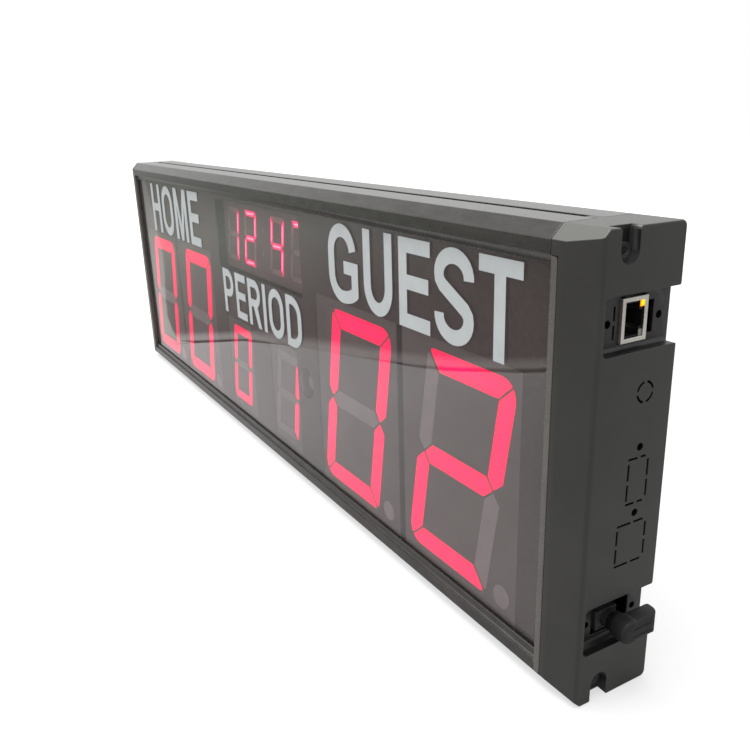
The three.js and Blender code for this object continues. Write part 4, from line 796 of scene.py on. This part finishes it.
studio = {
    "floorSize": 8.0, "floorColour": (178, 178, 178), "floorLift": 0.62, "farLift": 1.0,
    "farFrom": 0.45, "farTo": 1.1, "worldLight": 0.5,
    "cardEdge": [(-0.50, 0.10), (-0.36, 0.02), (-0.322, -0.038), (-0.291, -0.099), (-0.233, -0.140),
                 (-0.168, -0.170), (-0.108, -0.198), (-0.080, -0.217), (-0.037, -0.267), (0.05, -0.42),
                 (0.3, -0.8), (0.9, -1.5)],
    "edgeLine": [1, 1, 1, 0.8, 0.15, 0.3, 0.7, 1, 1, 1, 1, 1],
    "cardFar": [(0.9, -4.0), (-4.0, -4.0), (-4.0, 0.10)],
    "cardLift": 0.001, "paleCardLift": 0.002, "edgeDepths": (0.0, 0.012, 0.014, 0.03, 0.05), "fadeShare": 0.3,
    "paleCard": [(-0.311, -0.053), (-0.328, -0.043), (-0.351, -0.044), (-0.388, -0.051), (-0.442, -0.062),
                 (-0.549, -0.090), (-0.727, -0.140), (-0.917, -0.192), (-1.260, -0.276), (-1.552, -0.350),
                 (-1.958, -0.450), (-4.0, -0.950), (-4.0, 0.3), (-0.50, 0.3), (-0.34, 0.0)],
    # the edge's painted shade line and painted highlight band, then the card's own tones near and far
    "cardEdgeShade": (70, 65, 64), "cardEdgeHighlight": (205, 202, 199), "cardNear": (128, 121, 120),
    "cardFarOff": (186, 190, 182), "cardFadesFrom": (-0.35, -1.0),
    "paleColour": (222, 224, 218), "mirrorLift": (0.16, 0.36), "mirrorFrom": (0.1, -0.06),
}


def plane(name, sizeX, sizeY, place):
    bm = bmesh.new()
    bmesh.ops.create_grid(bm, x_segments=1, y_segments=1, size=0.5)
    bmesh.ops.scale(bm, vec=(sizeX, sizeY, 1), verts=bm.verts)
    bmesh.ops.translate(bm, vec=place, verts=bm.verts)
    sheet = pieceFrom(bm, name)
    return sheet


def seenRay(tree):
    # 1 for rays that show the studio itself: to the camera, in a reflection or through glass.
    path = tree.nodes.new("ShaderNodeLightPath")
    result = path.outputs["Is Camera Ray"]
    for name in ("Is Glossy Ray", "Is Transmission Ray"):
        either = tree.nodes.new("ShaderNodeMath")
        either.operation = "MAXIMUM"
        tree.links.new(result, either.inputs[0])
        tree.links.new(path.outputs[name], either.inputs[1])
        result = either.outputs[0]
    return result


def makeFloor():
    floor = plane("floor", studio["floorSize"], studio["floorSize"], (0, 0, 0))
    material, tree, shader = startMaterial("paleFloor")
    shader.inputs["Base Color"].default_value = linear(studio["floorColour"])
    shader.inputs["Roughness"].default_value = 0.9
    shader.inputs["Specular IOR Level"].default_value = 0.1
    shader.inputs["Emission Color"].default_value = (1, 1, 1, 1)
    coords = tree.nodes.new("ShaderNodeTexCoord")
    away = tree.nodes.new("ShaderNodeVectorMath")
    away.operation = "LENGTH"
    tree.links.new(coords.outputs["Object"], away.inputs[0])
    level = spread(tree, away.outputs["Value"], studio["floorLift"], studio["farLift"],
                   studio["farFrom"], studio["farTo"])
    place = tree.nodes.new("ShaderNodeSeparateXYZ")
    tree.links.new(coords.outputs["Object"], place.inputs[0])
    mirrored = spread(tree, place.outputs["X"], *studio["mirrorLift"], *studio["mirrorFrom"])
    mix = tree.nodes.new("ShaderNodeMix")
    path = tree.nodes.new("ShaderNodeLightPath")
    tree.links.new(path.outputs["Is Camera Ray"], mix.inputs[0])
    tree.links.new(mirrored, mix.inputs[2])
    tree.links.new(level, mix.inputs[3])
    lift = tree.nodes.new("ShaderNodeMath")
    lift.operation = "MULTIPLY"
    tree.links.new(mix.outputs[0], lift.inputs[1])
    tree.links.new(seenRay(tree), lift.inputs[0])
    tree.links.new(lift.outputs[0], shader.inputs["Emission Strength"])
    floor.data.materials.append(material)


def reflectedOnly(bm, name):
    card = pieceFrom(bm, name)
    card.visible_camera = False
    card.visible_diffuse = False
    card.visible_shadow = False
    return card


def makeCard():
    # A dark studio card beside the table, seen only in the acrylic's reflection. Its near edge stands for the
    # paper's curled edge, which is flat here: a painted shade line, a painted highlight band, then the dark
    # card.
    lift = studio["cardLift"]
    edge = [Vector((x, y, lift)) for x, y in studio["cardEdge"]]
    bm = bmesh.new()
    share = bm.verts.layers.float.new("depthShare")
    rows = []
    for depth in studio["edgeDepths"]:
        row = []
        for index, point in enumerate(edge):
            before, after = edge[max(index - 1, 0)], edge[min(index + 1, len(edge) - 1)]
            along = (after - before).normalized()
            vert = bm.verts.new(point + Vector((along.y, -along.x, 0)) * depth)
            faded = (1 - studio["edgeLine"][index]) * studio["fadeShare"]
            vert[share] = depth / studio["edgeDepths"][-1] + faded
            row.append(vert)
        rows.append(row)
    for near, far in zip(rows, rows[1:]):
        for index in range(len(edge) - 1):
            bm.faces.new((near[index], near[index + 1], far[index + 1], far[index]))
    corners = [bm.verts.new((x, y, lift)) for x, y in studio["cardFar"]]
    for corner in corners:
        corner[share] = 1.0
    bm.faces.new(rows[-1] + corners)
    bmesh.ops.recalc_face_normals(bm, faces=bm.faces)
    card = reflectedOnly(bm, "darkCard")
    material, tree, shader = startMaterial("darkCard")
    depth = tree.nodes.new("ShaderNodeAttribute")
    depth.attribute_name = "depthShare"
    coords = tree.nodes.new("ShaderNodeTexCoord")
    place = tree.nodes.new("ShaderNodeSeparateXYZ")
    tree.links.new(coords.outputs["Object"], place.inputs[0])
    mix = tree.nodes.new("ShaderNodeMix")
    mix.data_type = "RGBA"
    fade = spread(tree, place.outputs["X"], 0.0, 1.0, *studio["cardFadesFrom"])
    tree.links.new(fade, mix.inputs[mixShare])
    for socket, colour in ((mixFrom, studio["cardNear"]), (mixTo, studio["cardFarOff"])):
        stops = [(0.0, studio["cardEdgeShade"]), (0.16, studio["cardEdgeShade"]), (0.3, studio["cardEdgeHighlight"]),
                 (0.55, studio["cardEdgeHighlight"]), (1.0, colour)]
        tree.links.new(colourRamp(tree, depth.outputs["Fac"], stops), mix.inputs[socket])
    tree.links.new(mix.outputs[mixResult], shader.inputs["Base Color"])
    shader.inputs["Roughness"].default_value = 0.95
    shader.inputs["Specular IOR Level"].default_value = 0.0
    card.data.materials.append(material)


def makePaleCard():
    # Beyond the dark card the table shows again, dimmer than under the lamps.
    bm = bmesh.new()
    bm.faces.new([bm.verts.new((x, y, studio["paleCardLift"])) for x, y in studio["paleCard"]])
    bmesh.ops.triangulate(bm, faces=bm.faces)
    bmesh.ops.recalc_face_normals(bm, faces=bm.faces)
    card = reflectedOnly(bm, "paleCard")
    material, tree, shader = startMaterial("paleCard")
    shader.inputs["Base Color"].default_value = linear(studio["paleColour"])
    shader.inputs["Roughness"].default_value = 0.95
    shader.inputs["Specular IOR Level"].default_value = 0.0
    card.data.materials.append(material)


def makeWorld():
    world = bpy.data.worlds.new("paleStudio")
    scene.world = world
    world.use_nodes = True
    tree = world.node_tree
    background = tree.nodes["Background"]
    background.inputs["Color"].default_value = (1, 1, 1, 1)
    strength = tree.nodes.new("ShaderNodeMapRange")
    strength.inputs["To Min"].default_value = studio["worldLight"]
    strength.inputs["To Max"].default_value = 1.0
    tree.links.new(seenRay(tree), strength.inputs["Value"])
    tree.links.new(strength.outputs["Result"], background.inputs["Strength"])


def areaLight(name, place, target, size, power):
    lamp = bpy.data.lights.new(name, "AREA")
    lamp.shape = "RECTANGLE"
    lamp.size, lamp.size_y = size
    lamp.energy = power
    holder = bpy.data.objects.new(name, lamp)
    scene.collection.objects.link(holder)
    direction = Vector(target) - Vector(place)
    holder.matrix_world = Matrix.Translation(place) @ direction.to_track_quat("-Z", "Y").to_matrix().to_4x4()


makeCamera()
makeFloor()
makeCard()
makePaleCard()
makeWorld()
areaLight("softKey", (0.1, -0.3, 1.8), (0, 0, 0.1), (1.6, 1.2), 26)
areaLight("softFront", (-0.5, -1.7, 0.8), (0.1, 0, 0.1), (1.2, 0.9), 6)
scene.view_settings.view_transform = "Standard"
print("studio made")
